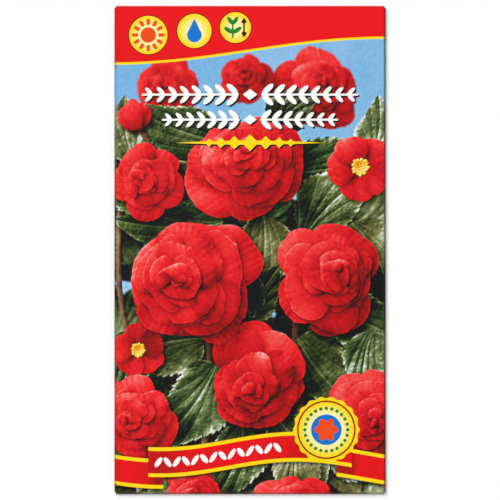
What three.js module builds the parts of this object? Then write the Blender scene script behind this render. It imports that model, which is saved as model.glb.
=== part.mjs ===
// A seed packet, lying on its back with the printed front up. Lengths are in millimetres, +X is the
// packet's right, +Y is its top and +Z is up. The origin is on the surface that it lies on, under its middle.
//
// The envelope is one sheet of paper: a front panel, two back panels that wrap round the side folds and
// overlap in a glued seam, and a flap at each end that is folded under the back panels and glued.
// Inside is a sealed sachet of foil film with the coated seeds.
import * as THREE from "three";

// ---- driving dimensions ----
const PACKET_WIDTH = 80;
const PACKET_HEIGHT = 144;
const PAPER = 0.15; // thickness of the sheet
const GLUE = 0.1; // thickness of a line of dried glue
const END_THICKNESS = 0.9; // the closed packet, flap to front panel, before it bulges
const BULGE = 2.1; // how far the contents lift the middle of the front panel
const BULGE_ACROSS = 2; // power of the bulge's fall from the middle to a side fold
const BULGE_ALONG = 2.5; // and to an end: higher keeps it flatter in the middle
const BULGE_FOOT = 1.5; // over 1 makes the bulge meet the flat folds without a crease
const CUT_BACK = 0.1; // how far the back panels end inside the end folds
const FLAP_INSET = 0.4; // a flap is this much narrower than the packet on each side
const FLAP_TAPER = 2.4; // a flap's free edge is this much shorter again at each end
const BOTTOM_FLAP = 13;
const TOP_FLAP = 17;
const FLAP_GLUE_INSET = [5, 3]; // from a glue line to the flap's corners, and to its fold and free edge
const SEAM_X = 8; // middle of the overlap of the back panels
const SEAM_OVERLAP = 10;
const SEAM_GLUE_INSET = 1.5; // from the seam's glue line to the edges of the overlap
const SEAM_GLUE_END = 1; // from the seam's glue line to the ends of the back panels
const SEAM_STEP_RUN = 4; // the run in which the inner back panel climbs over the outer one
const SEAM_STEP_FLAT = 0.3; // the last part of that run, which is level already

const SACHET_WIDTH = 52;
const SACHET_HEIGHT = 66;
const SACHET_Y = -4;
const FILM = 0.1;
const SEAL = 7; // width of the pressed seal round the sachet
const POCKET_RISE = 1.7; // how far the seeds hold the sachet's front film up
const POCKET_SPREAD = 1; // how far the pocket's foot reaches over the seal
const POCKET_SQUARENESS = 6; // power that keeps the pocket's middle flat
const SACHET_LIFT = 0.05; // clearance under the sachet
const SEED_RADIUS = 0.7;
const SEED_LIFT = 0.03; // clearance under a seed
const SEED_COUNT = 10;
const SEED_SPIRAL_TURN = 2.39996; // the golden angle, which spreads the seeds without a pattern
const SEED_SPREAD = 3.4; // sets how far apart the seeds lie

// ---- levels above the surface, worked out from the thicknesses ----
const FLAP_TOP = PAPER;
const BACK_OUTSIDE = FLAP_TOP + GLUE;
const BACK_INSIDE = BACK_OUTSIDE + PAPER;
const SEAM_CLIMB = PAPER + GLUE;
const SEAM_INSIDE = BACK_INSIDE + SEAM_CLIMB;

// ---- the fold radii and where the flat panels end ----
const SIDE_RADIUS = (END_THICKNESS - BACK_OUTSIDE) / 2;
const END_RADIUS = END_THICKNESS / 2;
const SIDE_FLAT = PACKET_WIDTH / 2 - SIDE_RADIUS;
const END_FLAT = PACKET_HEIGHT / 2 - END_RADIUS;
const PANEL_END = END_FLAT - CUT_BACK;
const FLAP_HALF = PACKET_WIDTH / 2 - FLAP_INSET;
const SIDE_ARC = Math.PI * SIDE_RADIUS;
const END_ARC = Math.PI * END_RADIUS;

// ---- numbers of facets: even round the folds, so that an edge lies at each fold's outermost line ----
const SIDE_FOLD_CELLS = 6;
const END_FOLD_CELLS = 8;
const FRONT_CELLS = [16, 22];
const BACK_CELLS = 3;
const SEAM_STEP_CELLS = 4;
const FILM_CELLS = [14, 18];
const SEED_DETAIL = 1;

const material = (color, roughness, metalness = 0) =>
  new THREE.MeshStandardMaterial({ color, roughness, metalness });
const printedPaper = material(0xd8322e, 0.35);
const driedGlue = material(0xe9dfc4, 0.5);
const foilFilm = material(0xc9ccd1, 0.3, 1);
const seedCoat = material(0xb5542f, 0.85);

// Evenly spaced values from a to b, both included.
const spaced = (a, b, steps) =>
  Array.from({ length: steps + 1 }, (_, i) => a + ((b - a) * i) / steps);

// Smooth climb from 0 at t = 0 to 1 at t = 1.
const smooth = (t) => {
  const c = Math.min(Math.max(t, 0), 1);
  return c * c * (3 - 2 * c);
};

// Height of the bulge over the flat front panel: a low pillow that dies out at the folds.
function bulge(x, y) {
  const across = Math.max(0, 1 - Math.abs(x / SIDE_FLAT) ** BULGE_ACROSS) ** BULGE_FOOT;
  const along = Math.max(0, 1 - Math.abs(y / PANEL_END) ** BULGE_ALONG) ** BULGE_FOOT;
  return BULGE * across * along;
}

// Level of a back panel's outside at x. The panel from the right is folded first, so at the seam it
// lies inside the packet and climbs over the panel from the left, which stays flat and shows.
function backLevel(x, fromRight) {
  if (!fromRight) return BACK_OUTSIDE;
  const seamEdge = SEAM_X + SEAM_OVERLAP / 2;
  const climbed = (seamEdge + SEAM_STEP_RUN - x) / (SEAM_STEP_RUN - SEAM_STEP_FLAT);
  return BACK_OUTSIDE + SEAM_CLIMB * smooth(climbed);
}

// Where the point (u, v) of the flat sheet lies once it is folded: on the outside at depth 0, and on
// the inside at depth PAPER. u runs round the packet from the middle of the front, and v along it.
function folded(u, v, depth) {
  const side = Math.sign(u);
  const end = Math.sign(v);
  const pastSide = Math.abs(u) - SIDE_FLAT;
  const pastEnd = Math.abs(v) - END_FLAT;
  if (pastEnd > 0) {
    const onFlap = pastEnd - END_ARC;
    const flapLength = end < 0 ? BOTTOM_FLAP : TOP_FLAP;
    const narrowing = 1 - (FLAP_TAPER / FLAP_HALF) * Math.max(0, onFlap / flapLength);
    if (onFlap >= 0) return [u * narrowing, end * (END_FLAT - onFlap), depth];
    const angle = pastEnd / END_RADIUS;
    const r = END_RADIUS - depth;
    return [u, end * (END_FLAT + r * Math.sin(angle)), END_RADIUS + r * Math.cos(angle)];
  }
  if (pastSide <= 0) return [u, v, END_THICKNESS + bulge(u, v) - depth];
  const onBack = pastSide - SIDE_ARC;
  if (onBack >= 0) {
    const x = side * (SIDE_FLAT - onBack);
    return [x, v, backLevel(x, side > 0) + depth];
  }
  const angle = pastSide / SIDE_RADIUS;
  const r = SIDE_RADIUS - depth;
  const middle = BACK_OUTSIDE + SIDE_RADIUS;
  return [side * (SIDE_FLAT + r * Math.sin(angle)), v, middle + r * Math.cos(angle)];
}

// A closed sheet over those cells of a grid that isThere accepts. point(u, v, depth) places its two
// faces, at depth 0 and at depth thickness, and every free edge gets a wall between them.
function sheet(us, vs, thickness, point, isThere = () => true) {
  const across = us.length;
  const count = across * vs.length;
  const positions = [0, thickness].flatMap((depth) =>
    vs.flatMap((v) => us.flatMap((u) => point(u, v, depth))),
  );
  const at = (i, j) => j * across + i;
  const has = (i, j) =>
    i >= 0 && j >= 0 && i < us.length - 1 && j < vs.length - 1 &&
    isThere((us[i] + us[i + 1]) / 2, (vs[j] + vs[j + 1]) / 2);
  const faces = [];
  const wall = (a, b) => faces.push(b, a, a + count, b, a + count, b + count);
  for (let j = 0; j < vs.length - 1; j++) {
    for (let i = 0; i < us.length - 1; i++) {
      if (!has(i, j)) continue;
      const [a, b, c, d] = [at(i, j), at(i + 1, j), at(i + 1, j + 1), at(i, j + 1)];
      faces.push(a, b, c, a, c, d);
      faces.push(a + count, c + count, b + count, a + count, d + count, c + count);
      if (!has(i, j - 1)) wall(a, b);
      if (!has(i + 1, j)) wall(b, c);
      if (!has(i, j + 1)) wall(c, d);
      if (!has(i - 1, j)) wall(d, a);
    }
  }
  const geometry = new THREE.BufferGeometry();
  geometry.setAttribute("position", new THREE.Float32BufferAttribute(positions, 3));
  geometry.setIndex(faces);
  geometry.computeVertexNormals();
  return geometry;
}

// The envelope's sheet. The back panels are as long as the tube of the packet, and the flaps are
// the only part of the sheet that goes past its ends.
function envelopeGeometry() {
  const backStart = SIDE_FLAT + SIDE_ARC;
  const reach = (seamEdge) => backStart + SIDE_FLAT - seamEdge;
  const rightEnd = reach(SEAM_X - SEAM_OVERLAP / 2); // the right panel's free edge
  const leftEnd = reach(-(SEAM_X + SEAM_OVERLAP / 2)); // the left panel's free edge
  const climbEnd = reach(SEAM_X + SEAM_OVERLAP / 2 + SEAM_STEP_FLAT);
  const climbStart = reach(SEAM_X + SEAM_OVERLAP / 2 + SEAM_STEP_RUN);
  const [frontColumns, frontRows] = FRONT_CELLS;
  const us = [
    ...spaced(-leftEnd, -backStart, BACK_CELLS),
    ...spaced(-backStart, -SIDE_FLAT, SIDE_FOLD_CELLS).slice(1),
    ...spaced(-FLAP_HALF, FLAP_HALF, frontColumns),
    ...spaced(SIDE_FLAT, backStart, SIDE_FOLD_CELLS),
    ...spaced(climbStart, climbEnd, SEAM_STEP_CELLS),
    rightEnd,
  ];
  const endRows = (flap) => [
    ...spaced(END_FLAT, END_FLAT + END_ARC, END_FOLD_CELLS),
    END_FLAT + END_ARC + flap,
  ];
  const vs = [
    ...endRows(BOTTOM_FLAP).map((v) => -v).reverse(),
    ...spaced(-PANEL_END, PANEL_END, frontRows),
    ...endRows(TOP_FLAP),
  ];
  const isPaper = (u, v) => Math.abs(v) < PANEL_END || Math.abs(u) < FLAP_HALF;
  return sheet(us, vs, PAPER, folded, isPaper);
}

// A line of dried glue, from one low corner to one high corner.
function glueGeometry(low, high) {
  const [width, length, thickness] = high.map((h, i) => h - low[i]);
  const geometry = new THREE.BoxGeometry(width, length, thickness);
  return geometry.translate(low[0] + width / 2, low[1] + length / 2, low[2] + thickness / 2);
}

// The glue between a flap and the back panels. end is -1 at the bottom and 1 at the top.
function flapGlueGeometry(end, flapLength) {
  const [fromCorner, fromEdge] = FLAP_GLUE_INSET;
  const half = FLAP_HALF - fromCorner;
  const near = end * (END_FLAT - fromEdge);
  const far = end * (END_FLAT - flapLength + fromEdge);
  return glueGeometry(
    [-half, Math.min(near, far), FLAP_TOP],
    [half, Math.max(near, far), BACK_OUTSIDE],
  );
}

// The glue in the long seam of the back panels.
function seamGlueGeometry() {
  const half = SEAM_OVERLAP / 2 - SEAM_GLUE_INSET;
  return glueGeometry(
    [SEAM_X - half, SEAM_GLUE_END - PANEL_END, BACK_INSIDE],
    [SEAM_X + half, PANEL_END - SEAM_GLUE_END, BACK_INSIDE + GLUE],
  );
}

// Height of the sachet's pocket over its seals, at (x, y) from the sachet's middle.
function pocket(x, y) {
  const fall = (distance, size) => {
    const foot = size / 2 - SEAL + POCKET_SPREAD;
    return Math.max(0, 1 - (distance / foot) ** POCKET_SQUARENESS);
  };
  return POCKET_RISE * fall(x, SACHET_WIDTH) * fall(y, SACHET_HEIGHT);
}

// One film of the sachet, from its low face up. rise(x, y) lifts it above its seals.
function filmGeometry(rise) {
  const us = spaced(-SACHET_WIDTH / 2, SACHET_WIDTH / 2, FILM_CELLS[0]);
  const vs = spaced(-SACHET_HEIGHT / 2, SACHET_HEIGHT / 2, FILM_CELLS[1]);
  return sheet(us, vs, FILM, (x, y, depth) => [x, y, FILM + rise(x, y) - depth]);
}

function named(name, geometry, look) {
  const mesh = new THREE.Mesh(geometry, look);
  mesh.name = name;
  return mesh;
}

// The sachet lies on the inside of the back panels, over the seam. Its seeds lie in a spiral.
function sachet() {
  const group = new THREE.Group();
  group.position.set(0, SACHET_Y, SEAM_INSIDE + SACHET_LIFT);
  const back = named("sachet_back_film", filmGeometry(() => 0), foilFilm);
  const front = named("sachet_front_film", filmGeometry(pocket), foilFilm);
  front.position.z = FILM;
  group.add(back, front);
  for (let i = 0; i < SEED_COUNT; i++) {
    const ball = new THREE.IcosahedronGeometry(SEED_RADIUS, SEED_DETAIL);
    const seed = named(`seed_${i + 1}`, ball, seedCoat);
    const distance = SEED_SPREAD * Math.sqrt(i + 0.5);
    const angle = i * SEED_SPIRAL_TURN;
    seed.position.set(
      distance * Math.cos(angle),
      distance * Math.sin(angle),
      FILM + SEED_LIFT + SEED_RADIUS,
    );
    group.add(seed);
  }
  return group;
}

function seedPacket() {
  const packet = new THREE.Group();
  packet.add(
    named("envelope", envelopeGeometry(), printedPaper),
    named("seam_glue", seamGlueGeometry(), driedGlue),
    named("bottom_flap_glue", flapGlueGeometry(-1, BOTTOM_FLAP), driedGlue),
    named("top_flap_glue", flapGlueGeometry(1, TOP_FLAP), driedGlue),
    sachet(),
  );
  return packet;
}

export default seedPacket();
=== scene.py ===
# %% [markdown]
# # A printed paper seed packet
#
# A seed packet is one sheet of coated paper, folded round into a flat tube, glued down a seam at the
# back and closed by a flap at each end. Inside lies a sealed foil sachet with a few coated seeds.
# Nearly all that one sees is print, so most of this lesson is about putting a rich picture on a thin
# sheet without any image file. The part was built first as plain solids. This script loads them as a
# fixed frame, and every piece that it adds stays where its solid is.

import bpy
import numpy as np
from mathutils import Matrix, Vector


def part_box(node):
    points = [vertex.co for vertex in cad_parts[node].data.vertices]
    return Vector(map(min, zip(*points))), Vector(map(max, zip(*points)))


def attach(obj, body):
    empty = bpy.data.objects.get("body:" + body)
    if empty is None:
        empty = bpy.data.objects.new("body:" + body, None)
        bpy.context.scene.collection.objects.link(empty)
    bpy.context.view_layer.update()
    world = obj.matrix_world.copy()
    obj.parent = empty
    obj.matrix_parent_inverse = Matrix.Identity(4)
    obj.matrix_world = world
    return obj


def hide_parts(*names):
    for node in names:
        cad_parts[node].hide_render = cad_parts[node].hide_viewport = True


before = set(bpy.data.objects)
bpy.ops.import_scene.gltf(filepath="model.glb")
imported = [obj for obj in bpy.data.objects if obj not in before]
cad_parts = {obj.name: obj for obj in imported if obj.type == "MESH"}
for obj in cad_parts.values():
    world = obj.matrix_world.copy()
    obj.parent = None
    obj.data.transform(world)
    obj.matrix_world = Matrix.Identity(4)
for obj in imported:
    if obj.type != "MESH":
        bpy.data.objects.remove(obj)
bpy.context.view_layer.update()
print("solids in the frame:", len(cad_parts))

# %% [markdown]
# ## Sizes
#
# Blender works in metres and the packet is easier to think about in millimetres, so all the lengths
# below are millimetres and are turned into metres only when a mesh is made. What can be read from the
# solids is read from them. The rest are the paper's own sizes.

# %% Sizes from the frame
MM = 0.001


def box_mm(node):
    """The lowest and highest corner of a solid, in millimetres."""
    low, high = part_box(node)
    return np.array(low) / MM, np.array(high) / MM


packet_low, packet_high = box_mm("envelope")
flap_glue_low, flap_glue_high = box_mm("bottom_flap_glue")
seam_glue_low, seam_glue_high = box_mm("seam_glue")
WIDTH, HEIGHT, THICKNESS = packet_high - packet_low
PAPER = flap_glue_low[2]
BACK_LEVEL = flap_glue_high[2]
SEAM_CLIMB = seam_glue_high[2] - BACK_LEVEL
SEAM_MIDDLE = (seam_glue_low[0] + seam_glue_high[0]) / 2
print(f"packet {WIDTH:.1f} x {HEIGHT:.1f} x {THICKNESS:.1f} mm, paper {PAPER:.2f} mm")

# %% Sizes of the paper and its folds
CLOSED = 0.9  # thickness of the closed ends
SEAM_OVERLAP = 10.0
SEAM_STEP_RUN = 4.0
SEAM_STEP_FLAT = 0.3
CUT_BACK = 0.1  # the back panels end this far inside the end folds
FLAP_INSET = 0.4
FLAP_TAPER = 2.4
FLAP_LENGTH = {-1: 13.0, 1: 17.0}  # bottom and top

SIDE_RADIUS = (CLOSED - BACK_LEVEL) / 2
END_RADIUS = CLOSED / 2
SIDE_FLAT = WIDTH / 2 - SIDE_RADIUS
END_FLAT = HEIGHT / 2 - END_RADIUS
PANEL_END = END_FLAT - CUT_BACK
FLAP_HALF = WIDTH / 2 - FLAP_INSET
SIDE_ARC, END_ARC = np.pi * SIDE_RADIUS, np.pi * END_RADIUS
print(f"flat front panel {2 * SIDE_FLAT:.2f} x {2 * END_FLAT:.2f} mm")

# %% [markdown]
# ## Smooth noise
#
# Clouds, mottled leaves, ripples in the paper and wear all come from the same smooth random field.
# Blender has a noise texture for shaders, but the picture is worked out before there is any shader, so
# this small version does the same job on whole numpy arrays. Every draw has a seed, so each run paints
# the same picture.

# %% Smooth noise on arrays
LATTICE = 256
LATTICE_SHIFT = 1000.5  # keeps the lattice coordinates positive


def smooth(t):
    """The climb 3t^2 - 2t^3 from 0 at t = 0 to 1 at t = 1, level outside."""
    t = np.clip(t, 0, 1)
    return t * t * (3 - 2 * t)


def value_noise(x, y, size, seed):
    """Random values on a square lattice of the given size, joined smoothly between its points."""
    table = np.random.default_rng(seed).random((LATTICE, LATTICE))
    gx, gy = x / size + LATTICE_SHIFT, y / size + LATTICE_SHIFT
    ix, iy = np.floor(gx).astype(int), np.floor(gy).astype(int)
    fx, fy = smooth(gx - ix), smooth(gy - iy)
    x0, x1, y0, y1 = ix % LATTICE, (ix + 1) % LATTICE, iy % LATTICE, (iy + 1) % LATTICE
    lower = table[y0, x0] * (1 - fx) + table[y0, x1] * fx
    upper = table[y1, x0] * (1 - fx) + table[y1, x1] * fx
    return lower * (1 - fy) + upper * fy


def fractal(x, y, size, seed, octaves=4):
    """Value noise plus the same at half the size and half the strength, and so on, scaled to 0..1."""
    parts = [value_noise(x, y, size / 2**k, seed + k) / 2**k for k in range(octaves)]
    return sum(parts) / sum(0.5**k for k in range(octaves))


print("noise at one point:", round(float(fractal(np.array(1.0), np.array(2.0), 5.0, 1)), 3))

# %% [markdown]
# ## A picture built of petals
#
# A photograph of flowers is convincing because every petal has a lit side, a shaded side and a soft
# shadow beneath. Flat painted shapes never look like that. So each petal and leaf is laid on a fine
# grid as a small relief of its own: the slope of its surface is kept for each point, and what lies
# under it is darkened where it throws its shadow. Light and colour are worked out from that, and only
# the colours are printed on the paper. The packet itself stays flat.

# %% The canvas
PITCH = 0.12
CANVAS_X = np.arange(-41, 41 + PITCH / 2, PITCH)
CANVAS_Y = np.arange(-73, 73 + PITCH / 2, PITCH)
X, Y = np.meshgrid(CANVAS_X, CANVAS_Y)
LEAF, PETAL, STEM, STAMEN = range(1, 5)  # what a point of the canvas shows, and 0 for the sky
canvas = {name: np.zeros(X.shape) for name in ("slope_x", "slope_y", "kind", "tone", "hue", "near")}
canvas["shade"] = np.ones(X.shape)
SHADOW_WAY = np.array([0.64, -0.77])  # away from the light
SHADOWS = ((0.4, 0.5, 0.40), (1.6, 1.7, 0.46))  # of each, how far it falls, how soft and how strong


def window(x, y, reach):
    """The part of the canvas within reach of a point, as two slices."""
    spans = []
    for axis, at in ((CANVAS_Y, y), (CANVAS_X, x)):
        ends = (np.array([at - reach, at + reach]) - axis[0]) / PITCH
        first, last = np.clip(ends + (0, 2), 0, len(axis)).astype(int)
        spans.append(slice(first, last))
    return tuple(spans)


def lay(part, outline, height, thick=1.0, **values):
    """
    Lays a shape over a part of the canvas. outline(x, y) is the distance inside its edge. Its shadows
    fall on what is there, and then its slopes and values replace that.
    """
    x, y = X[part], Y[part]
    for fall, softness, strength in SHADOWS:
        moved = outline(x - SHADOW_WAY[0] * fall * thick, y - SHADOW_WAY[1] * fall * thick)
        canvas["shade"][part] *= 1 - strength * smooth(0.5 + moved / (2 * softness * thick))
    inside = outline(x, y) > 0
    slope_y, slope_x = np.gradient(height, PITCH)
    for name, value in dict(values, slope_x=slope_x, slope_y=slope_y, shade=1.0).items():
        canvas[name][part] = np.where(inside, value, canvas[name][part])


print("canvas points:", X.size)

# %% [markdown]
# ## A petal
#
# One petal does for every flower. It is drawn in its own two coordinates: *along*, from the flower's
# middle to the petal's tip, and *across*, from edge to edge. The outline widens from a waist to a
# shoulder and closes with half an ellipse. The height arches along the petal, cups or crowns across
# it, folds a little along a crease, ripples near the tip and rolls down at the rim, which is what
# catches the light.

# %% Petals
SHOULDER = 0.58  # where along the petal it is widest
PETAL_SIZE = 16.0  # the reach for which the heights below are given


def petal(x, y, angle, reach, width, dome, rng, tone=0.0, notch=0.0, waist=0.3, near=1.0):
    """
    A petal that starts at (x, y). Its outline is where g = 1: up to the shoulder g is (across / half
    width)^2, and past it across^2 + (distance past the shoulder)^2, both over a wobble made of sines
    round the petal. dome = (x, y, radius, rise) bends the whole flower like a shallow cap.
    """
    part = window(x, y, reach * 1.12 + 3)
    phase = rng.uniform(0, 2 * np.pi, 5)
    bow = rng.uniform(-0.26, 0.26)  # how far the tip bends to a side
    slow, quick = rng.uniform(0.02, 0.07), rng.uniform(0.004, 0.020)  # strengths of the wobble
    frills = rng.uniform(6.0, 10.0)

    def own(px, py):
        """Along and across, the frill round the petal's middle, and g."""
        dx, dy = px - x, py - y
        along = (dx * np.cos(angle) + dy * np.sin(angle)) / reach
        across = (dy * np.cos(angle) - dx * np.sin(angle)) / width - bow * along**2
        turn = np.arctan2(across, along - 0.4)
        frill = np.sin(frills * turn + phase[1]) + 0.5 * np.sin(17.0 * turn + phase[4])
        wobble = 1 + slow * np.sin(2.6 * turn + phase[0]) + quick * frill
        wobble -= notch * np.exp(-((turn / 0.2) ** 2))
        half = waist + (1 - waist) * np.sin(np.pi / 2 * np.clip(along / SHOULDER, 0, 1))
        past = (along - SHOULDER) / (1 - SHOULDER)
        g = np.where(past > 0, across**2 + past**2, (across / half) ** 2) / wobble**2
        return along, across, frill, g

    def outline(px, py):
        along, _, _, g = own(px, py)
        return np.minimum((1 - np.sqrt(g)) * min(width, 0.5 * reach), along * reach)

    along, across, frill, g = own(X[part], Y[part])
    t, size = np.clip(along, 0, 1.2), reach / PETAL_SIZE
    dome_x, dome_y, radius, rise = dome
    height = rise * (1 - (np.hypot(X[part] - dome_x, Y[part] - dome_y) / radius) ** 2)
    height += 1.5 * np.sin(np.pi * np.clip(0.12 + 0.8 * t, 0, 1)) * size  # the arch along it
    height += rng.uniform(-0.9, 1.6) * across**2 * size  # the cup or crown across it
    ripple = np.sin(rng.uniform(2.0, 5.0) * across + 1.5 * t + phase[2])
    height += rng.uniform(0.5, 1.3) * ripple * t**1.8 * size
    height += rng.uniform(0.0, 0.22) * frill * np.clip(g, 0, 1) ** 2 * t * size
    height += rng.uniform(-1.5, 1.5) * across * size  # the tilt to a side
    height -= 0.8 * np.clip(g, 0, 1.5) ** 3 * size  # the rolled rim
    crease = rng.uniform(-1.5, 1.5)
    height += crease * np.hypot(across - rng.uniform(-0.5, 0.5), 0.10) * t * size

    vein = np.sin(across * width * 3.4 + 2.2 * np.sin(3 * t + phase[3]) + phase[4])
    rim = np.clip((g - 0.76) / 0.24, 0, 1) ** 3
    shade = tone + rng.uniform(0.04, 0.24) * rim * t - 0.46 * np.clip(0.90 - t, 0, 1) ** 1.2
    shade += rng.uniform(0.01, 0.045) * vein * t + rng.uniform(-0.10, 0.06)
    lay(part, outline, height, 0.25 + 0.75 * size, kind=PETAL, tone=shade, hue=0, near=near)


print("petal shoulder at", SHOULDER)

# %% [markdown]
# ## Flowers
#
# A full, double flower is petals laid from the outside in, each turned from the last by the golden
# angle, as plants do it, with a little chance in its place and size: no two petals ever line up, and
# no ring shows. A single blossom is five broad petals round an eye of stamens, and a bud is three
# narrow petals that close over each other.

# %% Double flowers
GOLDEN_ANGLE = np.pi * (3 - np.sqrt(5))
BROAD_SHIFT, BROAD_FADE, BROAD_DARK = (2.6, -3.2), 13.0, 0.55  # the shadow of a whole flower


def double_flower(x, y, radius, petals, seed, tilt=0.0, toward=0.0, near=1.0):
    """
    Petal number i reaches a ring of radius * (1 - 0.86 f^0.9), with f from 0 outside to 1 in the middle.
    A flower that faces sideways has its middle shifted by s = tilt * radius * f^0.8, and a petal at an
    angle a from that side then has -s cos a + sqrt(ring^2 - s^2 sin^2 a) to go to the ring. The whole
    flower first throws one broad shadow, which fades over BROAD_FADE.
    """
    part = window(x, y, radius + BROAD_FADE)
    covered = radius - np.hypot(X[part] - x - BROAD_SHIFT[0], Y[part] - y - BROAD_SHIFT[1])
    canvas["shade"][part] *= 1 - BROAD_DARK * smooth(0.5 + covered / BROAD_FADE)
    rng = np.random.default_rng(seed)
    for i, f in enumerate(np.linspace(0, 1, petals)):
        ring = radius * (1 - 0.86 * f**0.9) * rng.uniform(0.86, 1.10)
        width = radius * (0.40 * (1 - f) ** 0.8 + 0.10) * rng.uniform(0.75, 1.32)
        angle = seed + i * GOLDEN_ANGLE + rng.uniform(-0.45, 0.45)
        shift = tilt * radius * f**0.8
        px = x + shift * np.cos(toward) + rng.normal(0, 0.035) * radius
        py = y + shift * np.sin(toward) + rng.normal(0, 0.035) * radius
        a, s = angle - toward, min(0.8 * ring, shift * (1 - f))
        reach = np.sqrt(ring**2 - (s * np.sin(a)) ** 2) - s * np.cos(a)
        dome = (x, y, radius, 0.22 * radius)
        tone = 0.03 - 0.06 * f - 0.12 * tilt * np.cos(a)
        petal(px, py, angle, reach, width, dome, rng, tone, rng.uniform(0, 0.06), near=near)


print(f"golden angle {np.degrees(GOLDEN_ANGLE):.2f} degrees")


# %% Single blossoms, buds and stems
def single_blossom(x, y, radius, seed, stamens=38):
    """
    Five petals at equal angles, then stamens as small balls on a sunflower spiral: number k stands at k
    golden angles, at a distance that goes with the root of k.
    """
    rng = np.random.default_rng(seed)
    for k in (0, 2, 4, 1, 3):
        angle = seed + k * 2 * np.pi / 5 + rng.uniform(-0.1, 0.1)
        reach = radius * rng.uniform(0.94, 1.04)
        petal(x, y, angle, reach, radius * 0.52, (x, y, radius * 1.4, 0.6), rng, 0.05, 0.06, 0.2)
    for k in range(stamens):
        distance, angle = radius * 0.24 * np.sqrt((k + 0.5) / stamens), k * GOLDEN_ANGLE
        ball(x + distance * np.cos(angle), y + distance * np.sin(angle), radius * 0.05, STAMEN)


def bud(x, y, angle, size, seed):
    """Two side petals with a middle one over them, each with its lean and its share of the size."""
    rng = np.random.default_rng(seed)
    for lean, share in ((-0.42, 0.88), (0.42, 0.88), (0.0, 1.0)):
        dome = (x + 0.5 * size * np.cos(angle), y + 0.5 * size * np.sin(angle), size, 2.5)
        petal(x, y, angle + lean, size * share, size * 0.34, dome, rng, 0.05, waist=0.55)


def ball(x, y, radius, kind):
    """Half a ball: its height is the square root of 1 - distance^2."""
    part = window(x, y, radius * 1.4 + 0.8)
    d = np.hypot(X[part] - x, Y[part] - y) / radius
    height = radius * np.sqrt(np.clip(1.1 - d * d, 0.1, 1.1))
    outline = lambda px, py: radius - np.hypot(px - x, py - y)
    lay(part, outline, height, 0.3 * radius, kind=kind, tone=0, hue=0, near=0.7)


def stem(start, bend, end, radius):
    """
    A round stem from start to end. Its middle is x = (1-s)^2 x0 + 2s(1-s) x1 + s^2 x2, where s climbs
    evenly with y, and x1 is the x that it bends towards.
    """
    (x0, y0), (x2, y2) = start, end
    part = window((x0 + x2) / 2, (y0 + y2) / 2, abs(y2 - y0) / 2 + abs(bend - x0) + radius + 2)

    def off(px, py):
        """Distance from the middle, across the stem."""
        s = np.clip((py - y0) / (y2 - y0), 0, 1)
        middle = (1 - s) ** 2 * x0 + 2 * s * (1 - s) * bend + s * s * x2
        lean = 2 * ((1 - s) * (bend - x0) + s * (x2 - bend)) / (y2 - y0)
        return (px - middle) / np.sqrt(1 + lean**2)

    def outline(px, py):
        to_end = np.minimum(py - min(y0, y2), max(y0, y2) - py)
        return np.minimum(radius - np.abs(off(px, py)), to_end)

    height = radius * np.sqrt(np.clip(1.1 - (off(X[part], Y[part]) / radius) ** 2, 0.1, 1.1))
    mottle = 0.4 * (fractal(X[part], Y[part], 2.5, 37, 3) - 0.5)
    lay(part, outline, height, 0.5 * radius, kind=STEM, tone=mottle, hue=0, near=0.7)


print("balls, buds and blossoms ready")

# %% [markdown]
# ## Leaves
#
# A leaf is drawn like a petal, along and across its midrib. Its half width follows a sine that is
# pushed towards the base, and a saw wave cuts the teeth into it. The veins of a begonia leaf fan out
# from its base. Between them the blade bulges a little, like a quilt, and its toothed edge is pale.

# %% Leaves
VEINS = 2.5
TEETH = 13


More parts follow.
